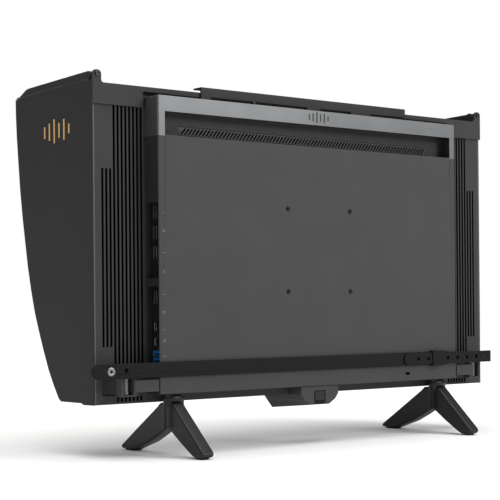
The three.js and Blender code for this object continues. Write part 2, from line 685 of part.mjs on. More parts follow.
const RAIL_X = HX0 - RAIL_T - GAP; // inner face of the rails of the lid
{
  const x0 = RAIL_X - 6;
  const x1 = RAIL_X - 0.4;
  const block = add(
    box(x0, x1, HINGE_Y - 4.6, HY - 0.1, PZ1 + 3.1, HINGE_Z),
    rod("x", HINGE_R, x0, x1, HINGE_Y, HINGE_Z, 24),
    rod("x", HINGE_PIN_R, x1 - 2, HX1 - 0.5, HINGE_Y, HINGE_Z, 16),
  );
  pair("hinge_block", block, TRIM);
  const screw = add(
    rod("y", SCREW_R, FLANGE_Y + GAP, FLANGE_Y + 1.8, TAB_SCREW_X, TAB_SCREW_Z, 24),
    rod("y", 1.3, COVER_Y + 0.4, FLANGE_Y + 0.6, TAB_SCREW_X, TAB_SCREW_Z, 12),
  );
  pair("tab_screw", cut(screw, rod("y", 1.25, FLANGE_Y + 0.8, FLANGE_Y + 3, TAB_SCREW_X, TAB_SCREW_Z, 6)), DARK_STEEL);
}
{
  // lid: two halves that turn together, each a plate with a rail along its outer side
  const f = HFRONT;
  const foot = HZ1 + 0.4;
  const rail = [
    [f + 1.4, foot - 1.9],
    [f + 0.9, foot - 2.9],
    [f + 15.5, foot - 2.1],
    [f + HOOD_D * 0.33, foot - 0.4],
    [HINGE_Y - 3.6, foot + 0.1],
    ...arc(HINGE_Y, HINGE_Z, HINGE_R, -90, 84, 9),
    [f + 35, HINGE_Z + 2.1],
    [f + 28, HINGE_Z + 1.7],
    [f + 23, HINGE_Z],
    [f + 16.5, HINGE_Z - 2.9],
    [f + 10, HINGE_Z - 5.6],
  ];
  const z0 = PZ1 + LID_LIFT;
  const z1 = z0 + LID_T;
  const y1 = HY - LID_BACK;
  let m = prismX(rail, RAIL_X, HX1 - 0.1);
  m = m.add(box(GAP / 2, HX0 - GAP, f + 0.9, y1, z0, z1));
  m = m.add(
    prismX(
      [
        [f + 0.9, z0],
        [y1, z0],
        [y1, foot + 1],
        [f + 30, foot + 1],
        [f + 0.9, foot - 1.8],
      ],
      RAIL_X,
      HX0 - GAP,
    ),
  );
  // ribs along the front edge and beside the seam
  m = m.add(box(GAP / 2, HX0 - GAP, f + 0.9, f + 3.4, z0 - 3, z0 + 1));
  m = m.add(box(GAP / 2, 3, f + 0.9, y1, z0 - 3, z0 + 1));
  m = cut(m, rod("x", HINGE_PIN_R + PIN_PLAY, RAIL_X - 2, HX1 + 1, HINGE_Y, HINGE_Z, 16));
  pair("hood_lid", m, HOOD);
}
{
  // centre cover on the flange with feet over the chassis
  const w = JOINT_COVER_W / 2;
  const y0 = FLANGE_Y + GAP;
  const z1 = FLANGE_Z1 + 6.1;
  const z0 = z1 - JOINT_COVER_H;
  let m = box(-w, w, y0, y0 + 2.2, z0, z1);
  m = m.add(box(-w, w, y0 - JOINT_COVER_LIP, y0 + 2.2, z1 - 1.8, z1));
  for (const [x0, x1] of [
    [83, 88],
    [-19, 3],
    [-104, -69],
    [150, w],
  ])
    m = m.add(box(x0, x1, y0, y0 + 2.2, CZ1 + 0.6, z0 + 0.6));
  part("hood_joint_cover", m, TRIM);
}

// ---------------------------------------------------------------- strap
const SZ = PZ0 + STRAP_UP;
const EYELET_X = PW - 3;
const TAIL_X0 = -(PW - TAIL_END);
const LAST_HOLE_X = TAIL_X0 + 10;
const FIRST_HOLE_X = LAST_HOLE_X + (HOLES - 1) * HOLE_PITCH;
const STRAP_Y1 = STRAP_OFF + STRAP_T;
const TAIL_Y = STRAP_Y1 + GAP;
const KEEPER_X = TAIL_X0 + 101.5;
// a band from x0 to a rounded end at x1
const band = (x0, x1, h, y) => {
  const r = h / 2;
  return prismY(
    [
      [x0, SZ - r],
      [x1 - r, SZ - r],
      ...arc(x1 - r, SZ, r, -75, 75, 8),
      [x1 - r, SZ + r],
      [x0, SZ + r],
    ],
    y,
    y + STRAP_T,
  );
};
part(
  "strap_band",
  cut(
    band(KEEPER_X - 20.5, EYELET_X + STRAP_OVERHANG, STRAP_H, STRAP_OFF),
    rod("y", EYELET_STEM_R + GAP, STRAP_OFF - 1, STRAP_Y1 + 1, EYELET_X, SZ, 18),
    rod("y", SPARE_HOLE_R, STRAP_OFF - 1, STRAP_Y1 + 1, EYELET_X - SPARE_HOLE_IN, SZ + 0.6, 16),
  ),
  RUBBER,
);
{
  let m = band(TAIL_X0, FIRST_HOLE_X + 25, TAIL_H, TAIL_Y);
  for (let i = 0; i < HOLES; i++)
    m = cut(m, rod("y", HOLE_R, TAIL_Y - 1, TAIL_Y + STRAP_T + 1, FIRST_HOLE_X - i * HOLE_PITCH, SZ, 14));
  part("strap_tail", m, RUBBER);
}
part(
  "strap_keeper",
  cut(
    box(
      KEEPER_X - KEEPER_W / 2,
      KEEPER_X + KEEPER_W / 2,
      STRAP_OFF - GAP - KEEPER_T,
      TAIL_Y + STRAP_T + GAP + KEEPER_T,
      SZ - STRAP_H / 2 - GAP - KEEPER_T,
      SZ + STRAP_H / 2 + GAP + KEEPER_T,
    ),
    box(
      KEEPER_X - KEEPER_W,
      KEEPER_X + KEEPER_W,
      STRAP_OFF - GAP,
      TAIL_Y + STRAP_T + GAP,
      SZ - STRAP_H / 2 - GAP,
      SZ + STRAP_H / 2 + GAP,
    ),
  ),
  RUBBER,
);
part(
  "strap_eyelet",
  cut(
    add(
      rod("y", EYELET_R, STRAP_Y1 + GAP, STRAP_Y1 + 1.1, EYELET_X, SZ, 28),
      rod("y", EYELET_STEM_R, STRAP_OFF, STRAP_Y1 + 0.6, EYELET_X, SZ, 20),
    ),
    rod("y", EYELET_BORE_R, STRAP_OFF - 1, STRAP_Y1 + 3, EYELET_X, SZ, 16),
  ),
  STEEL,
);
part("strap_post_left", rod("y", 2.8, COVER_Y + GAP, STRAP_OFF - GAP, EYELET_X, SZ, 18), BLACK);
part(
  "strap_post_right",
  add(
    rod("y", 3.2, COVER_Y + GAP, TAIL_Y - GAP, LAST_HOLE_X, SZ, 18),
    rod("y", HOLE_R - 0.6, TAIL_Y - 1, TAIL_Y + 1.2, LAST_HOLE_X, SZ, 14),
  ),
  BLACK,
);

// ---------------------------------------------------------------- legs
{
  const top = PZ0 - LEG_CLEAR;
  const k = top / 59.6;
  const sole = PAD_T + GAP;
  // front and rear arms under a hub, in (y,z)
  const outline = [
    [NECK_Y - 17, top],
    [NECK_Y - 22, top - 4.2],
    [-LEG_FRONT + 1.5, 6.2],
    [-LEG_FRONT, 4],
    [-LEG_FRONT + 1.2, 2],
    [-LEG_FRONT + 4.5, sole],
    [-LEG_FRONT + 27, sole],
    [-LEG_FRONT + 32, 3.4 * k],
    [-51, 12.6 * k],
    [-30, 22.6 * k],
    [-16.5, 30 * k],
    [-12.8, 30.8 * k],
    [-9, 29.6 * k],
    [10, 17.4 * k],
    [LEG_REAR - 24.5, 4.6 * k],
    [LEG_REAR - 17.5, sole],
    [LEG_REAR - 6, sole],
    [LEG_REAR - 2, 2.6],
    [LEG_REAR, 5.6],
    [LEG_REAR - 1.5, 9],
    [NECK_Y + 13, top - 3.6],
    [NECK_Y + 9, top],
  ].reverse();
  const inset = 2.5;
  let m = prismX(outline, LEG_X - LEG_T / 2 + inset, LEG_X + LEG_T / 2 - inset, {
    bevelEnabled: true,
    bevelThickness: inset,
    bevelSize: 1.6,
    bevelOffset: -1.6,
    bevelSegments: 2,
  });
  // the twin-lobed neck up to the chassis
  for (const d of [-NECK_SPREAD, NECK_SPREAD]) m = m.add(rod("z", NECK_R, top - 4, CZ0 - GAP, LEG_X + d, NECK_Y, 24));
  m = m.add(box(LEG_X - NECK_SPREAD, LEG_X + NECK_SPREAD, NECK_Y - 3.6, NECK_Y + 3.6, top - 4, CZ0 - GAP));
  const seat = 30.8 * k + 9.2;
  m = cut(
    m,
    rod("z", LEG_SCREW_R + PIN_PLAY, 10, CZ0 + 5, LEG_X, NECK_Y, 14),
    rod("z", LEG_HEAD_R + LEG_HEAD_PLAY, 10, seat, LEG_X, NECK_Y, 20),
  );
  pair("leg", m, LEG);
  const screw = add(
    rod("z", LEG_HEAD_R, seat - 5.5, seat - 0.4, LEG_X, NECK_Y, 20),
    rod("z", LEG_SCREW_R, seat - 1, CZ0 + 11, LEG_X, NECK_Y, 14),
  );
  pair("leg_screw", cut(screw, rod("z", 2.4, seat - 8, seat - 3, LEG_X, NECK_Y, 6)), DARK_STEEL);
  for (const [end, a, b] of [
    ["front", -LEG_FRONT + 6, -LEG_FRONT + 25],
    ["rear", LEG_REAR - 16, LEG_REAR - 6.5],
  ]) {
    const pad = box(LEG_X - LEG_T / 2 + inset, LEG_X + LEG_T / 2 - inset, a, b, 0, PAD_T);
    pair("foot_pad_" + end, pad, PAD);
  }
}

// ---------------------------------------------------------------- sensor housing with its folding arm
{
  const w = HOUSING_W / 2;
  const c = CHANNEL_W / 2;
  const y0 = BEZEL_Y - HOUSING_FRONT;
  const y1 = -2;
  const pivotY = BEZEL_Y - PIVOT_OUT;
  const pivotZ = PZ0 - PIVOT_DOWN;
  const top = PZ0 - GAP;
  const low = PZ0 - HOUSING_DEPTH;
  const section = (half, foot, z1, z2) => [
    [half, top],
    [-half, top],
    [-half + foot, z1],
    [-15, z2],
    [15, z2],
    [half - foot, z1],
  ];
  let m = loftY(section(w - 1.5, 1.5, PZ0 - 5, low - HOUSING_SLOPE), y0, section(w, 5, PZ0 - 7, low), y1);
  m = m.add(box(-w, w, COVER_Y + GAP, y1, PZ0 - 1, CZ0 - GAP));
  m = cut(
    m,
    box(-c, c, y0 - 2, pivotY + 7, low - 20, PZ0 + 20), // open above, so that the arm can stand up
    box(-c, c, y0 - 2, COVER_Y, low - 20, PZ0 - 1.6),
    box(-c, c, COVER_Y - 1, y1 + 1, low - 20, PZ0 + 3.8),
    rod("x", ARM_PIN_R + PIN_PLAY, -w + 10, w - 10, pivotY, pivotZ, 16),
  );
  part("sensor_housing", m, SHELL);
  const aw = c - ARM_PLAY;
  const end = pivotY + ARM_L;
  const arm = [
    [end, PZ0 - 8],
    [end, PZ0 + 2.4],
    [COVER_Y + 1.6, PZ0 + 2.4],
    [COVER_Y + 1.6, PZ0 - 2.2],
    [pivotY + 5, PZ0 - 2.2],
    ...arc(pivotY, pivotZ, 4, 30, 240, 8),
    [pivotY + 4, PZ0 - 8.6],
  ];
  const lensY = end - 10;
  part(
    "sensor_arm",
    cut(
      prismX(arm, -aw, aw),
      rod("x", ARM_PIN_R + PIN_PLAY, -aw - 1, aw + 1, pivotY, pivotZ, 16),
      rod("z", 4.3, PZ0 - 11, PZ0 - 6, 0, lensY, 24),
    ),
    TRIM,
  );
  part("sensor_lens", rod("z", 4, PZ0 - 7.6, PZ0 - 6.3, 0, lensY, 24), OPTIC);
  part("sensor_pin", rod("x", ARM_PIN_R, -w + 10.5, w - 10.5, pivotY, pivotZ, 16), STEEL);
  part("sensor_key", box(-aw, aw, y1 - 3.4, y1 - 0.2, PZ0 - 7.6, PZ0 + 3.1), TRIM);
}

const monitor = new THREE.Group();
monitor.name = "hooded_monitor";
monitor.add(head);
export default monitor;
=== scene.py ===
"""A hooded desktop monitor on two short legs, dressed for rendering around its CAD frame.

Everything is in metres in the part's frame: the origin is the middle of the VESA
face, the back faces +Y, the screen -Y, and +X is the side with the connectors.
"""

import json
import logging
import math
from dataclasses import dataclass, field
from enum import Enum
from functools import partial
from typing import Callable, Iterable, Sequence

import bpy
from mathutils import Matrix, Vector

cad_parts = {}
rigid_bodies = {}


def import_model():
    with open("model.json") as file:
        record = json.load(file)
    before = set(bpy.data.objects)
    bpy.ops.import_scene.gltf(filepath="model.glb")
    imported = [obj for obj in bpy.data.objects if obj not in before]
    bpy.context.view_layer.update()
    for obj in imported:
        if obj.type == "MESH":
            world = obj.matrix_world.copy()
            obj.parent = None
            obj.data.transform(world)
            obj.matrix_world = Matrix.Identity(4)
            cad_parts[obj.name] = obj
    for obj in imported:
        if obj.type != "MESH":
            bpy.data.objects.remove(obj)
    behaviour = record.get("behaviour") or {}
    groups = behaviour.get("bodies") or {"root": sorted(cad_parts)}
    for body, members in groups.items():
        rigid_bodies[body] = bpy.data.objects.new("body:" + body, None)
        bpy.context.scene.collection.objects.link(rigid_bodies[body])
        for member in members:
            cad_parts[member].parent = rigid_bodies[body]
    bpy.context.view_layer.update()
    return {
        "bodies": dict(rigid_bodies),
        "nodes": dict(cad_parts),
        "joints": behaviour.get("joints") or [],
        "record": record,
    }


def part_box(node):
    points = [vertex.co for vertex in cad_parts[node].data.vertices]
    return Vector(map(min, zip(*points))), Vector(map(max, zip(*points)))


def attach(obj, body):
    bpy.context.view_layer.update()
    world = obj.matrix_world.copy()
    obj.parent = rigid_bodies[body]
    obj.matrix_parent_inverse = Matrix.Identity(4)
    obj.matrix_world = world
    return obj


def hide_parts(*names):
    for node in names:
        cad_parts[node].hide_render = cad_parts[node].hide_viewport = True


LOG = logging.getLogger("monitor")
MM = 0.001


# ------------------------------------------------------------------ small tools
def mm(*values: float) -> Vector:
    """Turn a point given in millimetres into metres.

    Args:
        values: the coordinates in millimetres.

    Returns:
        The same point in metres.
    """
    return Vector([v * MM for v in values])


def linear(code: str) -> tuple[float, float, float, float]:
    """Turn an sRGB hex colour into the linear colour that shaders read.

    Args:
        code: the colour as "#rrggbb".

    Returns:
        Linear red, green, blue and an alpha of one.
    """
    parts = [int(code[i : i + 2], 16) / 255 for i in (1, 3, 5)]
    low, high = 0.04045, 2.4
    red, green, blue = (c / 12.92 if c <= low else ((c + 0.055) / 1.055) ** high for c in parts)
    return red, green, blue, 1.0


def activate(piece: bpy.types.Object) -> None:
    """Select one object alone and make it active.

    Args:
        piece: the object.
    """
    bpy.ops.object.select_all(action="DESELECT")
    piece.select_set(True)
    bpy.context.view_layer.objects.active = piece


def show(name: str, data: bpy.types.ID) -> bpy.types.Object:
    """Make an object of some data and add it to the scene.

    Args:
        name: its name.
        data: its mesh, light or camera.

    Returns:
        The new object.
    """
    made = bpy.data.objects.new(name, data)
    bpy.context.scene.collection.objects.link(made)
    return made


def editing(piece: bpy.types.Object, work: Callable[[], None]) -> None:
    """Run some edit-mode operators on all of a mesh.

    Args:
        piece: the mesh object.
        work: the operators, called with every element selected.
    """
    activate(piece)
    bpy.ops.object.mode_set(mode="EDIT")
    bpy.ops.mesh.select_mode(type="VERT")
    bpy.ops.mesh.select_all(action="SELECT")
    work()
    bpy.ops.object.mode_set(mode="OBJECT")


def editing_faces(
    piece: bpy.types.Object,
    wanted: Callable[[bpy.types.MeshPolygon], bool],
    work: Callable[[], None],
) -> None:
    """Run edit-mode operators on some faces only.

    Args:
        piece: the mesh object.
        wanted: says whether a face is worked on.
        work: the operators.
    """
    activate(piece)
    bpy.ops.object.mode_set(mode="EDIT")
    bpy.ops.mesh.select_mode(type="FACE")
    bpy.ops.mesh.select_all(action="DESELECT")
    bpy.ops.object.mode_set(mode="OBJECT")
    for face in piece.data.polygons:
        face.select = wanted(face)
    bpy.ops.object.mode_set(mode="EDIT")
    work()
    bpy.ops.object.mode_set(mode="OBJECT")


def round_edges(
    piece: bpy.types.Object, width: float, segments: int = 2, angle: float = 32.0
) -> None:
    """Round a mesh's sharp edges with a Bevel modifier and apply it.

    Args:
        piece: the mesh object.
        width: how far the rounding reaches, in millimetres.
        segments: how many faces it has.
        angle: the smallest edge angle that is rounded, in degrees.
    """
    activate(piece)
    bevel = piece.modifiers.new("edges", "BEVEL")
    bevel.width = width * MM
    bevel.segments = segments
    bevel.limit_method = "ANGLE"
    bevel.angle_limit = math.radians(angle)
    bevel.use_clamp_overlap = False
    bevel.miter_outer = "MITER_ARC" if segments > 2 else "MITER_SHARP"
    bpy.ops.object.modifier_apply(modifier=bevel.name)


def smooth(piece: bpy.types.Object, angle: float = 38.0) -> None:
    """Shade a mesh smooth with flat faces kept flat.

    Args:
        piece: the mesh object.
        angle: edges sharper than this stay sharp, in degrees.
    """
    editing(
        piece,
        lambda: bpy.ops.mesh.quads_convert_to_tris(quad_method="BEAUTY", ngon_method="BEAUTY"),
    )
    activate(piece)
    bpy.ops.object.shade_smooth_by_angle(angle=math.radians(angle))
    weighted = piece.modifiers.new("flats", "WEIGHTED_NORMAL")
    weighted.mode = "FACE_AREA"
    weighted.weight = 80
    weighted.keep_sharp = True
    bpy.ops.object.modifier_apply(modifier=weighted.name)


def settle(piece: bpy.types.Object, name: str) -> bpy.types.Object:
    """Put an object's place into its mesh and name it.

    Args:
        piece: the object.
        name: its name.

    Returns:
        The same object, at the origin.
    """
    activate(piece)
    bpy.ops.object.transform_apply(location=True, rotation=True, scale=True)
    piece.name = name
    piece.data.name = name
    return piece


def join(pieces: Sequence[bpy.types.Object], name: str) -> bpy.types.Object:
    """Join several settled meshes into one object.

    Args:
        pieces: the objects.
        name: the name of the result.

    Returns:
        The joined object.
    """
    bpy.ops.object.select_all(action="DESELECT")
    for piece in pieces:
        piece.select_set(True)
    bpy.context.view_layer.objects.active = pieces[0]
    bpy.ops.object.join()
    return settle(bpy.context.active_object, name)


def slab(
    name: str, low: Sequence[float], high: Sequence[float], edge: float = 0.0
) -> bpy.types.Object:
    """A block between two corners, with its edges bevelled.

    Args:
        name: its name.
        low: the lowest corner, in millimetres.
        high: the highest corner, in millimetres.
        edge: the size of the bevel, in millimetres.

    Returns:
        The settled object.
    """
    a, b = mm(*low), mm(*high)
    bpy.ops.mesh.primitive_cube_add(size=1, location=(a + b) / 2)
    piece = bpy.context.active_object
    piece.scale = b - a
    settle(piece, name)
    if edge:
        editing(
            piece,
            lambda: bpy.ops.mesh.bevel(
                offset=edge * MM, segments=2, affect="EDGES", clamp_overlap=True
            ),
        )
    return piece


def blocks(
    name: str, boxes: Iterable[tuple[Sequence[float], Sequence[float]]], edge: float = 0.0
) -> bpy.types.Object:
    """Make one piece of several blocks.

    Args:
        name: its name.
        boxes: the lowest and highest corner of each block, in millimetres.
        edge: the size of their bevels, in millimetres.

    Returns:
        The settled object.
    """
    pieces = [slab(f"{name}_{i}", low, high, edge) for i, (low, high) in enumerate(boxes)]
    return join(pieces, name)


def lathe(
    name: str,
    profile: Sequence[tuple[float, float]],
    centre: Sequence[float],
    axis: str,
    steps: int = 40,
) -> bpy.types.Object:
    """Spin a profile into a turned piece.

    Args:
        name: its name.
        profile: (radius, height) points in millimetres, starting and ending on the
            axis, or closed on itself when no point lies on the axis.
        centre: where height zero lies, in millimetres.
        axis: the way that height runs: "+x", "-x", "+y", "-y", "+z" or "-z".
        steps: faces around.

    Returns:
        The settled object.
    """
    mesh = bpy.data.meshes.new(name)
    closed = min(r for r, _ in profile) > 0
    count = len(profile)
    edges = [(i, (i + 1) % count) for i in range(count if closed else count - 1)]
    mesh.from_pydata([(r * MM, 0, h * MM) for r, h in profile], edges, [])
    piece = show(name, mesh)

    def turn() -> None:
        """Spin, close the seam and turn the faces outwards."""
        bpy.ops.mesh.spin(steps=steps, angle=2 * math.pi, center=(0, 0, 0), axis=(0, 0, 1))
        bpy.ops.mesh.select_all(action="SELECT")
        bpy.ops.mesh.remove_doubles(threshold=2e-6)
        bpy.ops.mesh.normals_make_consistent(inside=False)

    editing(piece, turn)
    ways = {"x": Vector((1, 0, 0)), "y": Vector((0, 1, 0)), "z": Vector((0, 0, 1))}
    way = ways[axis[1]] * (-1 if axis[0] == "-" else 1)
    turn_to = way.to_track_quat("Z", "Y").to_matrix().to_4x4()
    mesh.transform(Matrix.Translation(mm(*centre)) @ turn_to)
    return piece


# ------------------------------------------------------------------ finishes
def add_node(
    tree: bpy.types.NodeTree, kind: str, inputs: dict | None = None, **settings: object
) -> bpy.types.Node:
    """Add a node with its settings and links.

    Args:
        tree: the node tree.
        kind: the node's type name.
        inputs: socket name or number to a value, or to the socket linked to it.
        settings: the node's own properties.

    Returns:
        The new node.
    """
    made = tree.nodes.new(kind)
    for key, value in settings.items():
        setattr(made, key, value)
    for key, value in (inputs or {}).items():
        if isinstance(value, bpy.types.NodeSocket):
            tree.links.new(value, made.inputs[key])
        else:
            made.inputs[key].default_value = value
    return made


@dataclass(frozen=True)
class Finish:
    """What every finish has: a principled surface with a grain and a slow variation.

    Attributes:
        name: the material's name.
        colour: its main sRGB colour.
        shade: the sRGB colour that it drifts to.
        roughness: the mean roughness.
        spread: how far the roughness drifts either way.
        metallic: zero or one.
        ior: index of refraction of a non-metal.
        grain: the size of the grain in millimetres, along X, Y and Z.
        relief: the height of the grain in millimetres.
        patch: the size of the slow colour drift in millimetres.
    """

    name: str
    colour: str
    shade: str
    roughness: float
    spread: float = 0.05
    metallic: float = 0.0
    ior: float = 1.5
    grain: tuple[float, float, float] = (0.8, 0.8, 0.8)
    relief: float = 0.02
    patch: float = 60.0
    extra: dict = field(default_factory=dict)

    def material(self) -> bpy.types.Material:
        """Make the material.

        Returns:
            The node material.
        """
        made = bpy.data.materials.new(self.name)
        made.use_nodes = True
        made.node_tree.nodes.clear()
        node = partial(add_node, made.node_tree)
        place = node("ShaderNodeTexCoord").outputs["Object"]
        scale = [1000 / g for g in self.grain]
        stretched = node("ShaderNodeMapping", {"Vector": place, "Scale": scale})
        grain = node(
            "ShaderNodeTexNoise",
            {"Vector": stretched.outputs[0], "Scale": 1.0, "Detail": 3.0, "Roughness": 0.55},
        ).outputs["Fac"]
        drift = node(
            "ShaderNodeTexNoise",
            {"Vector": place, "Scale": 1000 / self.patch, "Detail": 2.0},
        ).outputs["Fac"]
        both = node("ShaderNodeMath", {0: grain, 1: drift}, operation="MULTIPLY")
        share = node(
            "ShaderNodeMapRange",
            {"Value": both.outputs[0], "From Min": 0.12, "From Max": 0.42},
        ).outputs["Result"]
        colour = node(
            "ShaderNodeMix",
            {0: share, 6: linear(self.colour), 7: linear(self.shade)},
            data_type="RGBA",
        ).outputs[2]
        rough = node(
            "ShaderNodeMapRange",
            {
                "Value": grain,
                "From Min": 0.3,
                "From Max": 0.7,
                "To Min": self.roughness - self.spread,
                "To Max": self.roughness + self.spread,
            },
        ).outputs["Result"]
        bump = node(
            "ShaderNodeBump",
            {"Height": grain, "Distance": self.relief * MM, "Strength": 1.0},
        ).outputs["Normal"]
        surface = node(
            "ShaderNodeBsdfPrincipled",
            {
                "Base Color": colour,
                "Roughness": rough,
                "Metallic": self.metallic,
                "IOR": self.ior,
                "Normal": bump,
                **self.extra,
            },
        ).outputs["BSDF"]
        node("ShaderNodeOutputMaterial", {"Surface": surface})
        made.diffuse_color = linear(self.colour)
        return made


class Surface(Enum):
    """The finishes of the monitor, each named for what the real surface is, or for the light or
    shade that it paints.
    """

    # Injection-moulded ABS with a fine spark-eroded texture: an even dark grey.
    SHELL_ABS = Finish("abs_shell_spark_textured", "#3a3a3a", "#3e3e3e", 0.62, ior=1.36)
    # The same moulding in the deeper cover, a shade darker.
    COVER_ABS = Finish("abs_cover_spark_textured", "#313131", "#353535", 0.62, ior=1.34)
    # Matt-lacquered hood panels: almost black, softer and flatter than the shell.
    HOOD_LACQUER = Finish(
        "hood_panel_matt_lacquer", "#1f1f1f", "#232323", 0.64, ior=1.36, patch=120.0,
    )
    # The sides of the chassis and the faces deep in its bays: the shell's grey darkened as
    # painted shade, and a little smoother.
    SIDE_ABS = Finish("abs_shell_drawn_side", "#1e1e1e", "#222222", 0.5, ior=1.36)
    # Painted shadow: a near-black strip on the flange just above the cap, standing in for the
    # shadowed gap between them.
    FOAM = Finish("foam_seal_closed_cell", "#040404", "#070707", 0.9, ior=1.2, relief=0.05)
    # Painted highlight: a paler strip along the rear edges of the hood's side panels, standing
    # in for light catching those edges.
    PANEL_EDGE = Finish("hood_panel_cut_edge", "#4b4b4b", "#525252", 0.5)
    # Small trim mouldings, slightly smoother where fingers touch them.
    TRIM_ABS = Finish("abs_trim_moulded", "#1f1f1f", "#232323", 0.52, ior=1.36)
    # Aluminium cap, brushed along its length and clear anodised: fine long lines.
    BRUSHED_CAP = Finish(
        "anodised_aluminium_brushed", "#6a6b6c", "#777879", 0.46, 0.07, metallic=1.0,
        grain=(26.0, 0.45, 0.45), relief=0.006,
    )
    # Black ABS of the bezel and the grille.
    BLACK_ABS = Finish("abs_black_moulded", "#0c0c0d", "#101011", 0.45)
    # Painted shade: near-black laid on the walls and floors of the vent grooves and on the
    # discs behind the strap's holes, standing in for the shade inside them.
    VENT_DARK = Finish("abs_vent_interior", "#020202", "#040404", 0.85, ior=1.15)
    # Anti-glare front sheet of the panel: black with a broad soft reflection.
    ANTI_GLARE = Finish(
        "panel_anti_glare_film", "#050506", "#08090b", 0.28, 0.03, grain=(0.35, 0.35, 0.35),
        relief=0.002, patch=200.0,
    )
    # White moulding of the light guide's tray.
    WHITE_TRAY = Finish("polycarbonate_white_tray", "#c9c9c6", "#d2d2d0", 0.5)
    # Zinc-plated sheet steel: bluish grey with a faint spangle.
    ZINC_STEEL = Finish(
        "steel_zinc_plated", "#8b8e92", "#a2a5a8", 0.36, 0.1, metallic=1.0,
        grain=(2.5, 2.5, 2.5), relief=0.004, patch=12.0,
    )
    # Blue thermoplastic insert of the fast USB sockets.
    BLUE_INSERT = Finish("thermoplastic_blue_insert", "#1d5f9c", "#2267a6", 0.4)
    # Solder mask over copper: mottled green with darker runs.
    SOLDER_MASK = Finish(
        "circuit_board_solder_mask", "#0f3a22", "#1c5434", 0.35, grain=(1.2, 1.2, 1.2),
        patch=7.0,
    )
    # Screws blackened in oxide: dark metal with soft glints.
    BLACK_OXIDE = Finish("steel_black_oxide", "#3a3a3b", "#464647", 0.4, 0.08, metallic=1.0)
    # Nickel-plated pins and the eyelet: bright and hard-edged.
    NICKEL = Finish(
        "brass_nickel_plated", "#b9babc", "#cfd0d1", 0.2, 0.05, metallic=1.0, relief=0.003,
    )
    # The same plating on the eyelet, dulled by the strap's rubbing.
    EYELET_NICKEL = Finish(
        "brass_nickel_worn", "#87888a", "#9a9b9d", 0.34, 0.08, metallic=1.0, relief=0.003,
    )
    # Zinc-plated hinge rollers of the brackets: grey, with a soft streak of light.
    ROLLER_STEEL = Finish(
        "steel_roller_satin", "#6d6e70", "#7b7c7e", 0.38, 0.05, metallic=1.0, relief=0.003,
    )
    # Silicone-rubber strap: satin black with a faint bloom.
    SILICONE = Finish(
        "silicone_rubber_satin", "#0c0c0c", "#101010", 0.62, 0.07, ior=1.27,
        grain=(0.5, 0.5, 0.5), relief=0.015, patch=25.0,
    )
    # Powder-coated die-cast legs: semi-gloss with the slight ripple of powder.
    POWDER_COAT = Finish(
        "powder_coat_semi_gloss", "#141414", "#181818", 0.4, 0.05, ior=1.36,
        grain=(1.3, 1.3, 1.3), relief=0.03,
    )
    # Soft rubber foot pads.
    FOOT_RUBBER = Finish("rubber_foot_pad", "#111112", "#171718", 0.78)
    # Flocked lining inside the hood: light-trapping, with the sheen of short fibre.
    FLOCK = Finish(
        "flock_lining_short_fibre", "#08080a", "#101013", 0.95, 0.03, grain=(0.5, 0.5, 0.5),
        relief=0.12, patch=40.0, extra={"Sheen Weight": 0.35, "Sheen Roughness": 0.5},
    )
    # Opal diffuser in front of the colour sensor.
    OPAL = Finish("acrylic_opal_diffuser", "#d9dbdd", "#e4e6e8", 0.3)
    # Gold ink of the emblem: flat, dull metallic.
    GOLD_INK = Finish("screen_print_gold_ink", "#c0975a", "#cca469", 0.45)
    # Dark grey and pale grey ink of the small marks.
    DARK_INK = Finish("screen_print_dark_ink", "#141415", "#19191a", 0.5)
    PALE_INK = Finish("screen_print_pale_ink", "#707071", "#7a7a7b", 0.55)
    # Gold-plated connector contacts.
    GOLD_PLATE = Finish(
        "contact_gold_plated", "#c79a4a", "#d4aa5c", 0.25, metallic=1.0, relief=0.002,
    )


class Side(Enum):
    """The two sides of the monitor; left is the +X side."""

    LEFT = 1
    RIGHT = -1

    @property
    def word(self) -> str:
        """Name the side.

        Returns:
            The ending of the names of this side's pieces.
        """
        return self.name.lower()


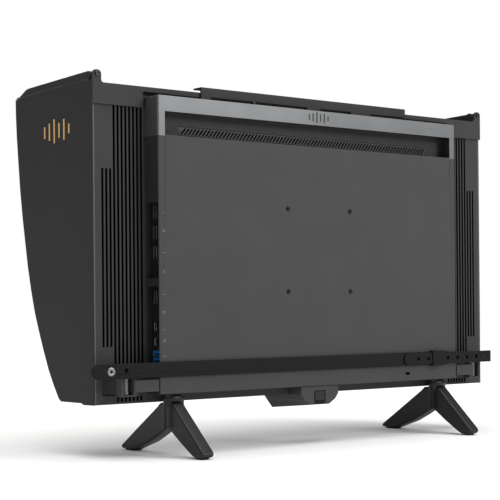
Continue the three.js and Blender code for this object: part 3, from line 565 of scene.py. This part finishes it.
# ------------------------------------------------------------------ workshop
class Workshop:
    """Holds the frame and gives every piece its body and finish."""

    def __init__(self, frame: dict) -> None:
        """Read the bodies and slots of the nodes.
        """
        record = frame["record"]
        self.nodes = frame["nodes"]
        self.body = {
            node: body
            for body, members in record["behaviour"]["bodies"].items()
            for node in members
        }
        self.slots = {s["node"]: s["material_slot"] for s in record["subparts"]}
        self.materials: dict[Surface, bpy.types.Material] = {}

    def material(self, surface: Surface) -> bpy.types.Material:
        """Find the material of a finish, made on its first use.

        Args:
            surface: the finish.

        Returns:
            The material.
        """
        if surface not in self.materials:
            self.materials[surface] = surface.value.material()
        return self.materials[surface]

    def paint(self, piece: bpy.types.Object, *surfaces: Surface) -> None:
        """Give an object its finishes.

        Args:
            piece: the object.
            surfaces: the finishes, in the order of its material slots.
        """
        piece.data.materials.clear()
        for surface in surfaces:
            piece.data.materials.append(self.material(surface))

    def keep(self, surface: Surface, *names: str) -> None:
        """Dress CAD nodes whose shape is right as it is.

        Args:
            surface: their finish.
            names: the nodes.
        """
        for name in names:
            self.paint(self.nodes[name], surface)
            LOG.info("kept %s as %s", name, surface.name)

    def place(
        self,
        piece: bpy.types.Object,
        surface: Surface,
        body: str,
        slot: str,
        replaced: Iterable[str] = (),
        lining: Surface | None = None,
    ) -> bpy.types.Object:
        """Finish a new piece and tie it to the frame.

        Args:
            piece: the object, settled at the origin.
            surface: its finish.
            body: the body that it rides on.
            slot: the record's material slot; not used.
            replaced: the CAD nodes that it stands for.
            lining: the finish of its second material slot.

        Returns:
            The same object.
        """
        self.paint(piece, surface, *([lining] if lining else []))
        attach(piece, body)
        if replaced:
            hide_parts(*replaced)
        LOG.info("made %s on %s as %s", piece.name, body, surface.name)
        return piece

    def refine(
        self,
        node: str,
        surface: Surface,
        edge: float,
        segments: int = 2,
        lining: Surface | None = None,
        lined: Callable[[bpy.types.MeshPolygon], bool] | None = None,
    ) -> bpy.types.Object:
        """Replace a CAD node by its own shape with rounded edges and two finishes.

        Args:
            node: the CAD node.
            surface: its finish.
            edge: the rounding of its edges, in millimetres.
            segments: faces across the rounding.
            lining: a second finish for some faces.
            lined: says which faces take it.

        Returns:
            The new object.
        """
        name = f"{node}_shell"
        piece = show(name, self.nodes[node].data.copy())
        piece.data.name = name
        editing(piece, lambda: bpy.ops.mesh.remove_doubles(threshold=5e-6))
        round_edges(piece, edge, segments)
        smooth(piece)
        self.place(piece, surface, self.body[node], self.slots[node], [node], lining)
        if lining and lined:
            for face in piece.data.polygons:
                face.material_index = int(lined(face))
        return piece


def corners(node: str) -> tuple[Vector, Vector]:
    """Read the box of a CAD node.

    Args:
        node: the CAD node.

    Returns:
        Its lowest and highest corner, in millimetres.
    """
    low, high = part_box(node)
    return low / MM, high / MM


@dataclass(frozen=True)
class ScrewHead:
    """The size of a low round screw head with a hexagon socket, in millimetres.

    Attributes:
        radius: the radius of the head.
        height: the height of the head.
        key: the corner radius of the socket.
        depth: the depth of the socket.
        crown: the width of the sloping rim, as a share of the radius.
        rise: the height of the sloping rim, as a share of the radius.
    """

    radius: float
    height: float
    key: float
    depth: float
    crown: float = 0.16
    rise: float = 0.12


def socket_screw(name: str, size: ScrewHead) -> bpy.types.Object:
    """A screw head standing on the origin.

    Args:
        name: its name.
        size: its size.

    Returns:
        The object, with its axis along +Z.
    """
    head, key = size.radius, size.key
    bpy.ops.mesh.primitive_cylinder_add(
        vertices=36,
        radius=head * MM,
        depth=size.height * MM,
        location=(0, 0, size.height * MM / 2),
    )
    piece = settle(bpy.context.active_object, name)

    def crown() -> None:
        """Draw the top in to the socket and sink the socket."""
        bpy.ops.mesh.inset(thickness=size.crown * head * MM, depth=size.rise * head * MM)
        bpy.ops.mesh.inset(thickness=(head * (1 - size.crown) - key) * MM)

    editing_faces(piece, lambda face: face.normal.z > 0.9, crown)
    inner = max(piece.data.polygons, key=lambda f: (f.center.z, f.normal.z * len(f.vertices)))
    for index in inner.vertices:
        vertex = piece.data.vertices[index].co
        angle = math.atan2(vertex.y, vertex.x) % (math.pi / 3) - math.pi / 6
        flat = key * MM * math.cos(math.pi / 6) / math.cos(angle)
        scale = flat / math.hypot(vertex.x, vertex.y)
        vertex.x *= scale
        vertex.y *= scale
    middle = inner.index
    editing_faces(
        piece,
        lambda face: face.index == middle,
        lambda: bpy.ops.mesh.extrude_region_move(
            TRANSFORM_OT_translate={"value": (0, 0, -size.depth * MM)}
        ),
    )
    round_edges(piece, 0.12)
    smooth(piece)
    return piece


def aim(
    piece: bpy.types.Object, centre: Sequence[float], way: Sequence[float]
) -> bpy.types.Object:
    """Turn a piece's +Z to a direction and move its origin to a point.

    Args:
        piece: the settled object.
        centre: the point, in millimetres.
        way: the direction.

    Returns:
        The same object, with its place in its mesh.
    """
    turn = Vector(way).to_track_quat("Z", "Y").to_matrix().to_4x4()
    piece.data.transform(Matrix.Translation(mm(*centre)) @ turn)
    return piece


# ------------------------------------------------------------------ sub-assemblies
@dataclass
class SubAssembly:
    """A group of pieces that belong together on the bench.

    Attributes:
        shop: the workshop, which knows their bodies, slots and finishes.
    """

    shop: Workshop

    def build(self) -> None:
        """Build and dress the pieces."""
        raise NotImplementedError


@dataclass
class DisplayHead(SubAssembly):
    """The panel with its grooved cover and bezel."""

    groove_edge: float = 0.35
    bezel_edge: float = 0.5
    dark_below: float = 0.9
    dark_until: float = 4.0
    foot_height: float = 10.0
    scoop_height: float = 29.0

    def build(self) -> None:
        """Build and dress the head."""
        low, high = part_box("display_rear_cover")
        sill = low.z + self.scoop_height * MM
        deep = high.y - self.dark_below * MM
        floor = high.y - self.dark_until * MM
        # The walls and floors of the grooves, a little under the back face, get near-black
        # painted shade, except in the band from the foot height up to the top of the scoop.
        self.shop.refine(
            "display_rear_cover",
            Surface.COVER_ABS,
            self.groove_edge,
            lining=Surface.VENT_DARK,
            lined=lambda face: floor < face.center.y < deep
            and not low.z + self.foot_height * MM < face.center.z < sill,
        )
        self.shop.refine("front_bezel", Surface.BLACK_ABS, self.bezel_edge, 3)
        self.shop.keep(Surface.ANTI_GLARE, "display_glass")
        self.shop.keep(Surface.WHITE_TRAY, "backlight_unit")


@dataclass
class Chassis(SubAssembly):
    """The box on the back, its metal cap, the grille and the VESA inserts."""

    edge: float = 0.45
    cap_edge: float = 0.4
    grille_edge: float = 0.15
    bay_deep: float = 20.0
    bay_lip: float = 1.0
    insert_wall: float = 1.0
    insert_rim: float = 0.25
    insert_blind: float = 2.2
    mouth_wide: float = 0.45
    mouth_deep: float = 0.5
    drill_tip: float = 0.1
    thread_pitch: float = 0.7
    thread_depth: float = 0.3
    mark_drop: float = 8.5
    mark_pitch: float = 6.0
    mark_half: float = 1.1
    mark_ink: float = 0.06
    mark_edge: float = 0.02
    mark_heights: tuple[float, ...] = (7.0, 10.0, 13.0, 9.0, 12.0, 6.0)

    def build(self) -> None:
        """Build and dress the chassis."""
        _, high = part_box("rear_chassis")
        bay, lip = high.x - self.bay_deep * MM, high.y - self.bay_lip * MM
        # The sides of the chassis and the faces deep in its bays get a darker copy of the
        # shell's grey: painted shade.
        self.shop.refine(
            "rear_chassis",
            Surface.SHELL_ABS,
            self.edge,
            lining=Surface.SIDE_ABS,
            lined=lambda face: abs(face.normal.x) > 0.9
            or (abs(face.center.x) > bay and face.center.y < lip),
        )
        self.shop.refine("aluminium_cap", Surface.BRUSHED_CAP, self.cap_edge)
        self.shop.refine("vent_grille", Surface.BLACK_ABS, self.grille_edge, 1)
        self.shop.keep(Surface.ZINC_STEEL, "board_tray")
        self.shop.refine("recess_tray", Surface.TRIM_ABS, self.edge)
        self.shop.keep(Surface.SOLDER_MASK, "main_board")
        for number in range(1, 5):
            self.insert(f"vesa_insert_{number}")
        self.cap_mark()

    def insert(self, node: str) -> None:
        """Turn a threaded insert with a countersunk mouth.

        Args:
            node: the CAD node that it stands for.
        """
        low, high = corners(node)
        centre = (low + high) / 2
        radius = (high.x - low.x) / 2
        bore = radius - self.insert_wall
        depth = high.y - low.y
        rim, mouth, tooth = self.insert_rim, self.mouth_deep, self.thread_depth / 2
        turns = int((depth - self.insert_blind) / self.thread_pitch)
        profile = [(0.0, -depth), (radius, -depth), (radius, -rim), (radius - rim, 0)]
        profile += [(bore + self.mouth_wide, 0.0), (bore + tooth, -mouth)]
        for i in range(turns):
            z = -mouth - i * self.thread_pitch
            profile += [
                (bore - tooth, z - self.thread_pitch / 2),
                (bore + tooth, z - self.thread_pitch),
            ]
        profile.append((0.0, -mouth - self.drill_tip - turns * self.thread_pitch))
        piece = lathe(f"{node}_thread", profile, (centre.x, high.y, centre.z), "+y")
        smooth(piece, 30)
        self.shop.place(piece, Surface.BLACK_OXIDE, "head", self.shop.slots[node], [node])

    def cap_mark(self) -> None:
        """Print a plain mark of short bars on the middle of the cap."""
        _, high = corners("aluminium_cap")
        middle = high.z - self.mark_drop
        last = len(self.mark_heights) - 1
        half, top = self.mark_half, high.y + self.mark_ink
        bars = []
        for i, height in enumerate(self.mark_heights):
            x = (last / 2 - i) * self.mark_pitch
            foot, head = middle - height / 2, middle + height / 2
            bars.append(((x - half, high.y, foot), (x + half, top, head)))
        mark = blocks("cap_mark", bars, self.mark_edge)
        self.shop.place(mark, Surface.DARK_INK, "head", "cap")


@dataclass
class Connectors(SubAssembly):
    """The sockets in the sides, their plate, and the two keys."""

    # Sockets with contacts: how many on each face of the tongue, and their spacing.
    sockets: tuple[tuple[tuple[str, ...], int, float], ...] = (
        (("hdmi_port_1", "hdmi_port_2", "hdmi_port_3", "display_port"), 9, 1.0),
        (("usb_c_port_1", "usb_c_port_2"), 6, 0.8),
    )
    insert_edge: float = 0.1
    black_parts: tuple[tuple[str, float], ...] = (
        ("audio_jack", 0.12),
        ("port_plate", 0.15),
        ("power_inlet", 0.3),
    )
    contact: float = 0.35
    contact_from: float = 5.5
    contact_to: float = 1.6
    plating: float = 0.08
    tall_socket: float = 5.0
    thick_tongue: float = 0.7
    thin_tongue: float = 0.45
    mouth: float = 0.6
    # Heights of the printed marks, each beside its socket.
    marks: tuple[float, ...] = (40, 19, -5, -27, -52, -73, -92, -105, -122)
    mark_inset: float = 9.5
    mark_wide: tuple[float, float, float] = (2.4, 3.4, 3.4)
    mark_tall: float = 0.7
    mark_drop: float = 1.2
    mark_row: float = 1.5
    mark_ink: float = 0.05

    def build(self) -> None:
        """Build and dress the connectors."""
        for nodes, count, pitch in self.sockets:
            for node in nodes:
                self.socket(node)
                self.contacts(node, count, pitch)
        for number in (1, 2):
            self.shop.refine(f"usb_a_port_{number}", Surface.BLUE_INSERT, self.insert_edge)
        for node, edge in self.black_parts:
            self.shop.refine(node, Surface.BLACK_ABS, edge)
        self.keys()
        self.side_marks()

    def socket(self, node: str) -> None:
        """Dress a socket: a bright metal mouth and a black inside.

        Args:
            node: the socket.
        """
        _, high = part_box(node)
        mouth = high.x - self.mouth * MM
        self.shop.refine(
            node,
            Surface.NICKEL,
            0.12,
            lining=Surface.BLACK_ABS,
            lined=lambda face: face.center.x < mouth,
        )

    def contacts(self, node: str, count: int, pitch: float) -> None:
        """Lay gold contacts on both faces of a socket's tongue.

        Args:
            node: the socket.
            count: contacts on each face.
            pitch: their spacing, in millimetres.
        """
        low, high = corners(node)
        y, z = (low.y + high.y) / 2, (low.z + high.z) / 2
        tall = high.y - low.y > self.tall_socket
        half = self.thick_tongue if tall else self.thin_tongue
        x0, x1 = high.x - self.contact_from, high.x - self.contact_to
        wide = self.contact / 2
        strips = []
        for face in (-1, 1):
            y0, y1 = sorted((y + face * half, y + face * (half + self.plating)))
            for i in range(count):
                at = z + (i - (count - 1) / 2) * pitch
                strips.append(((x0, y0, at - wide), (x1, y1, at + wide)))
        piece = blocks(f"{node}_contacts", strips)
        self.shop.place(piece, Surface.GOLD_PLATE, "head", self.shop.slots[node])

    def keys(self) -> None:
        """Turn the power and menu keys with dished faces."""
        for node, stem in (("power_button", 1.6), ("menu_button", 1.1)):
            low, high = corners(node)
            centre = (low + high) / 2
            tall = high.x - low.x
            flange = (high.z - low.z) / 2
            radius = flange - stem
            profile = [
                (0.0, 0.0), (flange, 0.0), (flange, 1.3), (radius, 1.35),
                (radius, tall - 0.45), (radius - 0.15, tall - 0.12),
                (radius - 0.5, tall), (radius - 1.0, tall - 0.02),
                (radius * 0.5, tall - 0.35), (0.0, tall - 0.5),
            ]
            key = lathe(f"{node}_cap", profile, (high.x, centre.y, centre.z), "-x", 48)
            smooth(key, 40)
            body, slot = self.shop.body[node], self.shop.slots[node]
            self.shop.place(key, Surface.TRIM_ABS, body, slot, [node])

    def side_marks(self) -> None:
        """Print small plain marks beside the sockets."""
        _, high = corners("rear_chassis")
        edge, top = high.x - self.mark_inset, high.y + self.mark_ink
        marks = []
        for i, z in enumerate(self.marks):
            half = self.mark_wide[i % 3] / 2
            for row in range(1 + i % 2):
                z0 = z - self.mark_drop + row * self.mark_row
                z1 = z0 + self.mark_tall
                marks.append(((edge - half, high.y, z0), (edge + half, top, z1)))
        piece = blocks("connector_marks", marks)
        self.shop.place(piece, Surface.PALE_INK, "head", "shell")


@dataclass
class Hood(SubAssembly):
    """The light-shading hood: side panels, rear flange, lid and joint cover."""

    edge: float = 0.55
    block_edge: float = 0.4
    cover_edge: float = 0.5
    facing: float = 0.9
    screw_spots: tuple[tuple[float, float], ...] = ((-139, 7.8), (-164, 7.3), (-178, 8.8))
    tab_head: ScrewHead = ScrewHead(3.0, 1.1, 1.35, 0.9)
    tab_sink: float = 1.46
    rail_head: ScrewHead = ScrewHead(1.7, 0.35, 0.8, 0.3)
    rail_sink: float = 0.05
    seal_gap: float = 0.5
    seal_past: float = 2.5
    seal_up: tuple[float, float] = (2.6, 5.2)
    seal_thick: float = 0.5
    seal_edge: float = 0.1
    rim_half: float = 0.75
    rim_sunk: float = 0.1
    rim_proud: float = 0.06
    rim_foot: float = 1.0
    rim_edge: float = 0.05
    rim_short: float = 12.0
    emblem_y: tuple[float, float] = (-134.0, -68.0)
    emblem_z: tuple[float, float] = (122.5, 150.0)
    emblem_bar: float = 1.5
    emblem_ink: float = 0.08
    emblem_edge: float = 0.03
    emblem_rows: tuple[float, ...] = (0.5, 0.72, 1.0, 0.62, 0.86, 0.4)

    def build(self) -> None:
        """Build and dress the hood."""
        for side in Side:
            s = side.value
            for panel, inner in (
                ("side", lambda face, s=s: face.normal.x * s < -self.facing),
                ("lid", lambda face: face.normal.z < -self.facing),
            ):
                node = f"hood_{panel}_{side.word}"
                lacquer, lining = Surface.HOOD_LACQUER, Surface.FLOCK
                self.shop.refine(node, lacquer, self.edge, lining=lining, lined=inner)
            self.shop.refine(f"hinge_block_{side.word}", Surface.TRIM_ABS, self.block_edge)
            self.tab_screw(side)
            self.rail_screws(side)
        self.shop.refine("hood_rear_flange", Surface.COVER_ABS, self.block_edge)
        self.shop.refine("hood_joint_cover", Surface.TRIM_ABS, self.cover_edge)
        self.seals()
        self.panel_edges()
        self.emblem()

    def seals(self) -> None:
        """Lay a near-black strip on the flange above the cap, either side of the cover: painted
        shadow of the gap there.
        """
        _, wall = corners("hood_rear_flange")
        _, cap = corners("aluminium_cap")
        low, high = corners("hood_joint_cover")
        for side in Side:
            inner = (high.x if side is Side.LEFT else low.x) + self.seal_gap * side.value
            outer = (cap.x + self.seal_past) * side.value
            x0, x1 = sorted((inner, outer))
            strip = slab(
                f"flange_seal_{side.word}",
                (x0, wall.y, cap.z + self.seal_up[0]),
                (x1, wall.y + self.seal_thick, cap.z + self.seal_up[1]),
                self.seal_edge,
            )
            self.shop.place(strip, Surface.FOAM, "head", self.shop.slots["hood_rear_flange"])

    def panel_edges(self) -> None:
        """Lay a paler strip on the rear edges of the side panels: a painted highlight."""
        for side in Side:
            low, high = corners(f"hood_side_{side.word}")
            middle = (low.x + high.x) / 2
            strip = slab(
                f"panel_edge_{side.word}",
                (middle - self.rim_half, high.y - self.rim_sunk, low.z + self.rim_foot),
                (middle + self.rim_half, high.y + self.rim_proud, high.z - self.rim_short),
                self.rim_edge,
            )
            self.shop.place(strip, Surface.PANEL_EDGE, "head", "hood")

    def tab_screw(self, side: Side) -> None:
        """Set a socket screw in the upright tab of the flange.

        Args:
            side: the side of the hood.
        """
        node = f"tab_screw_{side.word}"
        low, high = corners(node)
        centre = (low + high) / 2
        head = socket_screw(f"{node}_head", self.tab_head)
        aim(head, (centre.x, high.y - self.tab_sink, centre.z), (0, 1, 0))
        self.shop.place(head, Surface.BLACK_OXIDE, "head", self.shop.slots[node], [node])

    def rail_screws(self, side: Side) -> None:
        """Set the small screws along the rail of the lid.

        Args:
            side: the side of the hood.
        """
        low, high = corners(f"hood_lid_{side.word}")
        outer = high.x if side is Side.LEFT else low.x
        screws = []
        for i, (y, drop) in enumerate(self.screw_spots):
            z = high.z - drop
            screw = socket_screw(f"rail_screw_{side.word}_{i}", self.rail_head)
            sunk = outer - self.rail_sink * side.value
            aim(screw, (sunk, y, z), (side.value, 0, 0))
            screws.append(screw)
        piece = join(screws, f"rail_screws_{side.word}")
        self.shop.place(piece, Surface.BLACK_OXIDE, "lid", "dark_steel")

    def emblem(self) -> None:
        """Print a plain emblem of upright gold bars on the connector side."""
        _, high = corners("hood_side_left")
        y0, y1 = self.emblem_y
        z0, z1 = self.emblem_z
        step = (y1 - y0) / len(self.emblem_rows)
        middle, wide = (z0 + z1) / 2, self.emblem_bar
        face = high.x + self.emblem_ink
        bars = []
        for i, share in enumerate(self.emblem_rows):
            y = y0 + (i + 0.5) * step
            half = (z1 - z0) / 2 * share
            foot, head = middle - half, middle + half
            bars.append(((high.x, y - wide, foot), (face, y + wide, head)))
        mark = blocks("hood_emblem", bars, self.emblem_edge)
        self.shop.place(mark, Surface.GOLD_INK, "head", "hood")


@dataclass
class Strap(SubAssembly):
    """The rubber strap across the back with its eyelet, keeper and posts."""

    # The rounding of each rubber piece.
    rubber: tuple[tuple[str, float], ...] = (
        ("strap_band", 0.6),
        ("strap_tail", 0.45),
        ("strap_keeper", 0.4),
    )
    post_edge: float = 0.3
    eyelet_bore: float = 1.6
    eyelet_stem: float = 2.3
    eyelet_lip: float = 0.8
    first_hole: float = 10.0
    hole_pitch: float = 18.0
    holes: int = 8
    spare_in: float = 20.0
    spare_up: float = 0.6
    web_radius: float = 2.25
    web_thick: float = 0.3

    def build(self) -> None:
        """Build and dress the strap."""
        for node, edge in self.rubber:
            self.shop.refine(node, Surface.SILICONE, edge, 3)
        for side in Side:
            self.shop.refine(f"strap_post_{side.word}", Surface.BLACK_ABS, self.post_edge)
        self.eyelet()
        self.webs()

    def webs(self) -> None:
        """Put a near-black disc behind each free hole: painted shade for the dark that shows
        through it.
        """
        tail, tail_high = corners("strap_tail")
        band, band_high = corners("strap_band")
        ring, ring_high = corners("strap_eyelet")
        eye = (ring.x + ring_high.x) / 2
        middle = (tail.z + tail_high.z) / 2
        across = (band.z + band_high.z) / 2 + self.spare_up
        spots = [
            (tail.x + self.first_hole + i * self.hole_pitch, tail.y, middle)
            for i in range(1, self.holes)
        ]
        spots.append((eye - self.spare_in, band.y, across))
        webs = []
        for i, (x, y, z) in enumerate(spots):
            bpy.ops.mesh.primitive_cylinder_add(
                vertices=24,
                radius=self.web_radius * MM,
                depth=self.web_thick * MM,
                location=mm(x, y + self.web_thick, z),
                rotation=(math.pi / 2, 0, 0),
            )
            webs.append(settle(bpy.context.active_object, f"web_{i}"))
        piece = join(webs, "strap_hole_webs")
        self.shop.place(piece, Surface.VENT_DARK, "head", self.shop.slots["strap_tail"])

    def eyelet(self) -> None:
        """Turn the rolled metal eyelet."""
        low, high = corners("strap_eyelet")
        centre = (low + high) / 2
        radius = (high.x - low.x) / 2
        tall = high.y - low.y
        bore, stem, lip = self.eyelet_bore, self.eyelet_stem, self.eyelet_lip
        profile = [
            (bore, 0.0), (stem, 0.0), (stem, tall - lip), (radius - 0.2, tall - lip),
            (radius, tall - lip + 0.2), (radius - 0.15, tall - 0.3),
            (radius - 0.7, tall - 0.06), (radius - 1.4, tall),
            (bore + 0.8, tall - 0.05), (bore + 0.2, tall - 0.3), (bore, tall - 0.7),
        ]
        ring = lathe("strap_eyelet_ring", profile, (centre.x, low.y, centre.z), "+y", 48)
        smooth(ring, 45)
        self.shop.place(ring, Surface.EYELET_NICKEL, "head", "bright_steel", ["strap_eyelet"])


@dataclass
class Legs(SubAssembly):
    """The two A-shaped legs with their screws and pads."""

    edge: float = 0.7
    collar_radius: float = 9.5
    collar_roll: float = 4.2
    collar_drop: float = 6.0
    collar_squeeze: float = 0.62
    ridge_half: float = 2.4
    ridge_proud: float = 0.9
    ridge_edge: float = 0.45
    ridge_up: tuple[float, float] = (29.5, 55.0)

    def build(self) -> None:
        """Build and dress the legs."""
        for side in Side:
            self.shop.refine(f"leg_{side.word}", Surface.POWDER_COAT, self.edge, 3)
            self.collar(side)
            self.ridges(side)
            self.shop.refine(f"leg_screw_{side.word}", Surface.BLACK_OXIDE, 0.3)
            for end in ("front", "rear"):
                self.shop.refine(f"foot_pad_{end}_{side.word}", Surface.FOOT_RUBBER, 0.35, 3)

    def neck(self, side: Side) -> tuple[Vector, Vector, float]:
        """Find a leg and the line of its screw.

        Args:
            side: the side of the leg.

        Returns:
            Its lowest and highest corner, and the screw's Y, in millimetres.
        """
        low, high = corners(f"leg_{side.word}")
        screw_low, screw_high = corners(f"leg_screw_{side.word}")
        return low, high, (screw_low.y + screw_high.y) / 2

    def ridges(self, side: Side) -> None:
        """Raise the upright ridge between the arms, on both faces of the leg.

        Args:
            side: the side of the leg.
        """
        low, high, axis = self.neck(side)
        half = self.ridge_half
        proud = self.ridge_proud
        z0, z1 = (low.z + up for up in self.ridge_up)
        strips = [
            ((x - proud, axis - half, z0), (x + proud, axis + half, z1))
            for x in (low.x, high.x)
        ]
        piece = blocks(f"leg_ridges_{side.word}", strips, self.ridge_edge)
        smooth(piece, 30)
        self.shop.place(piece, Surface.POWDER_COAT, "head", self.shop.slots[f"leg_{side.word}"])

    def collar(self, side: Side) -> None:
        """Roll the cast collar round the neck, just under the display.

        Args:
            side: the side of the leg.
        """
        low, high, axis = self.neck(side)
        middle = (low.x + high.x) / 2
        bpy.ops.mesh.primitive_torus_add(
            major_radius=self.collar_radius * MM,
            minor_radius=self.collar_roll * MM,
            major_segments=48,
            minor_segments=16,
            location=mm(middle, axis, high.z - self.collar_drop),
        )
        ring = bpy.context.active_object
        ring.scale = (1.0, self.collar_squeeze, 1.0)
        ring = settle(ring, f"leg_collar_{side.word}")
        smooth(ring, 60)
        self.shop.place(ring, Surface.POWDER_COAT, "head", self.shop.slots[f"leg_{side.word}"])


@dataclass
class CornerBrackets(SubAssembly):
    """The brackets at the lower corners with their upright pins."""

    edge: float = 0.45

    def build(self) -> None:
        """Build and dress the brackets."""
        for side in Side:
            self.shop.refine(f"side_bracket_{side.word}", Surface.SHELL_ABS, self.edge)
            node = f"bracket_pin_{side.word}"
            low, high = corners(node)
            centre = (low + high) / 2
            radius = (high.x - low.x) / 2
            tall = high.z - low.z
            profile = [
                (0.0, 0.0), (radius - 0.5, 0.0), (radius, 0.5), (radius, 3.0),
                (radius - 0.25, 3.2), (radius - 0.25, 3.9), (radius, 4.1),
                (radius, tall - 0.5), (radius - 0.5, tall), (0.0, tall),
            ]
            pin = lathe(f"{node}_turned", profile, (centre.x, centre.y, low.z), "+z")
            smooth(pin, 35)
            self.shop.place(pin, Surface.ROLLER_STEEL, "head", self.shop.slots[node], [node])


@dataclass
class CalibrationSensor(SubAssembly):
    """The housing under the display with the folding sensor arm."""

    edge: float = 0.6

    def build(self) -> None:
        """Build and dress the sensor."""
        self.shop.refine("sensor_housing", Surface.SHELL_ABS, self.edge)
        self.shop.refine("sensor_arm", Surface.TRIM_ABS, 0.5)
        self.shop.refine("sensor_key", Surface.TRIM_ABS, 0.4)
        self.shop.refine("sensor_pin", Surface.NICKEL, 0.2)
        low, high = corners("sensor_lens")
        centre = (low + high) / 2
        radius = (high.x - low.x) / 2
        tall = high.z - low.z
        profile = [
            (0.0, 0.0), (radius, 0.0), (radius, tall - 0.5),
            (radius - 0.5, tall - 0.35), (radius * 0.6, tall - 0.08), (0.0, tall),
        ]
        lens = lathe("sensor_lens_dome", profile, (centre.x, centre.y, high.z), "-z")
        smooth(lens, 50)
        self.shop.place(lens, Surface.OPAL, "sensor_arm", "sensor_window", ["sensor_lens"])


@dataclass(frozen=True)
class Softbox:
    """A square soft light.

    Attributes:
        name: its name.
        at: its place in metres.
        target: the point that it faces.
        size: its width in metres.
        power: its power in watts.
    """

    name: str
    at: tuple[float, float, float]
    target: tuple[float, float, float]
    size: float
    power: float

    def hang(self) -> None:
        """Add the light to the scene."""
        data = bpy.data.lights.new(self.name, "AREA")
        data.size = self.size
        data.energy = self.power
        lamp = show(self.name, data)
        way = (Vector(self.target) - Vector(self.at)).to_track_quat("-Z", "Y")
        lamp.matrix_world = Matrix.Translation(Vector(self.at)) @ way.to_matrix().to_4x4()


@dataclass
class Studio:
    """A pale floor, soft light and the camera."""

    camera_at: tuple[float, float, float] = (1.1222, 1.3136, -0.0650)
    looks: tuple[float, float, float] = (-0.62101, -0.78380, 0.00209)
    roll: float = -0.48
    lens: float = 101.16
    shift: tuple[float, float] = (-0.0368, 0.1026)
    floor_size: float = 14.0
    fill: float = 0.2
    ceiling: float = 3.1
    ceiling_height: float = 3.0
    ceiling_spread: float = 70.0
    sensor: float = 36.0
    far: float = 60.0
    softboxes: tuple[Softbox, ...] = (
        Softbox("behind_camera", (-1.5, 2.4, 1.4), (0.0, 0.0, 0.0), 1.4, 50.0),
        Softbox("side", (2.8, 0.4, 0.6), (0.2, 0.0, 0.0), 1.2, 9.0),
    )

    def build(self) -> None:
        """Build the studio."""
        self.camera()
        self.floor()
        self.sky()
        self.overhead()
        for softbox in self.softboxes:
            softbox.hang()

    def camera(self) -> None:
        """Set the camera at its viewing angle."""
        data = bpy.data.cameras.new("view")
        data.lens = self.lens
        data.sensor_width = self.sensor
        data.shift_x, data.shift_y = self.shift
        data.clip_end = self.far
        eye = show("view", data)
        turn = Vector(self.looks).to_track_quat("-Z", "Y").to_matrix().to_4x4()
        tilt = Matrix.Rotation(math.radians(self.roll), 4, "Z")
        eye.matrix_world = Matrix.Translation(Vector(self.camera_at)) @ turn @ tilt
        bpy.context.scene.camera = eye

    def floor(self) -> None:
        """Lay the floor under the feet."""
        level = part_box("foot_pad_front_left")[0].z
        bpy.ops.mesh.primitive_plane_add(size=self.floor_size, location=(0, 0, level))
        floor = settle(bpy.context.active_object, "floor")
        # Seamless paper: very pale, with the faintest mottle.
        paper = Finish("paper_seamless_white", "#f3f3f2", "#f7f7f6", 0.9, 0.02)
        floor.data.materials.append(paper.material())

    def sky(self) -> None:
        """Light the scene evenly from all round."""
        world = bpy.data.worlds.new("studio")
        world.use_nodes = True
        world.node_tree.nodes.clear()
        node = partial(add_node, world.node_tree)
        white = (1, 1, 1, 1)
        fill, paper = (
            node("ShaderNodeBackground", {"Color": white, "Strength": strength}).outputs[0]
            for strength in (self.fill, 1.0)
        )
        seen = node("ShaderNodeLightPath").outputs["Is Camera Ray"]
        mixed = node("ShaderNodeMixShader", {0: seen, 1: fill, 2: paper}).outputs[0]
        node("ShaderNodeOutputWorld", {"Surface": mixed})
        bpy.context.scene.world = world
        bpy.context.scene.view_settings.view_transform = "Standard"

    def overhead(self) -> None:
        """Light the floor evenly from a ceiling of diffused light."""
        data = bpy.data.lights.new("ceiling", "SUN")
        data.energy = self.ceiling
        data.angle = math.radians(self.ceiling_spread)
        show("ceiling", data).location = (0, 0, self.ceiling_height)


def main() -> None:
    """Build the whole scene."""
    logging.basicConfig(level=logging.INFO, format="%(name)s: %(message)s")
    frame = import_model()
    Studio().build()
    shop = Workshop(frame)
    for assembly in (
        DisplayHead,
        Chassis,
        Connectors,
        Hood,
        Strap,
        Legs,
        CornerBrackets,
        CalibrationSensor,
    ):
        assembly(shop).build()


if __name__ == "__main__":
    main()
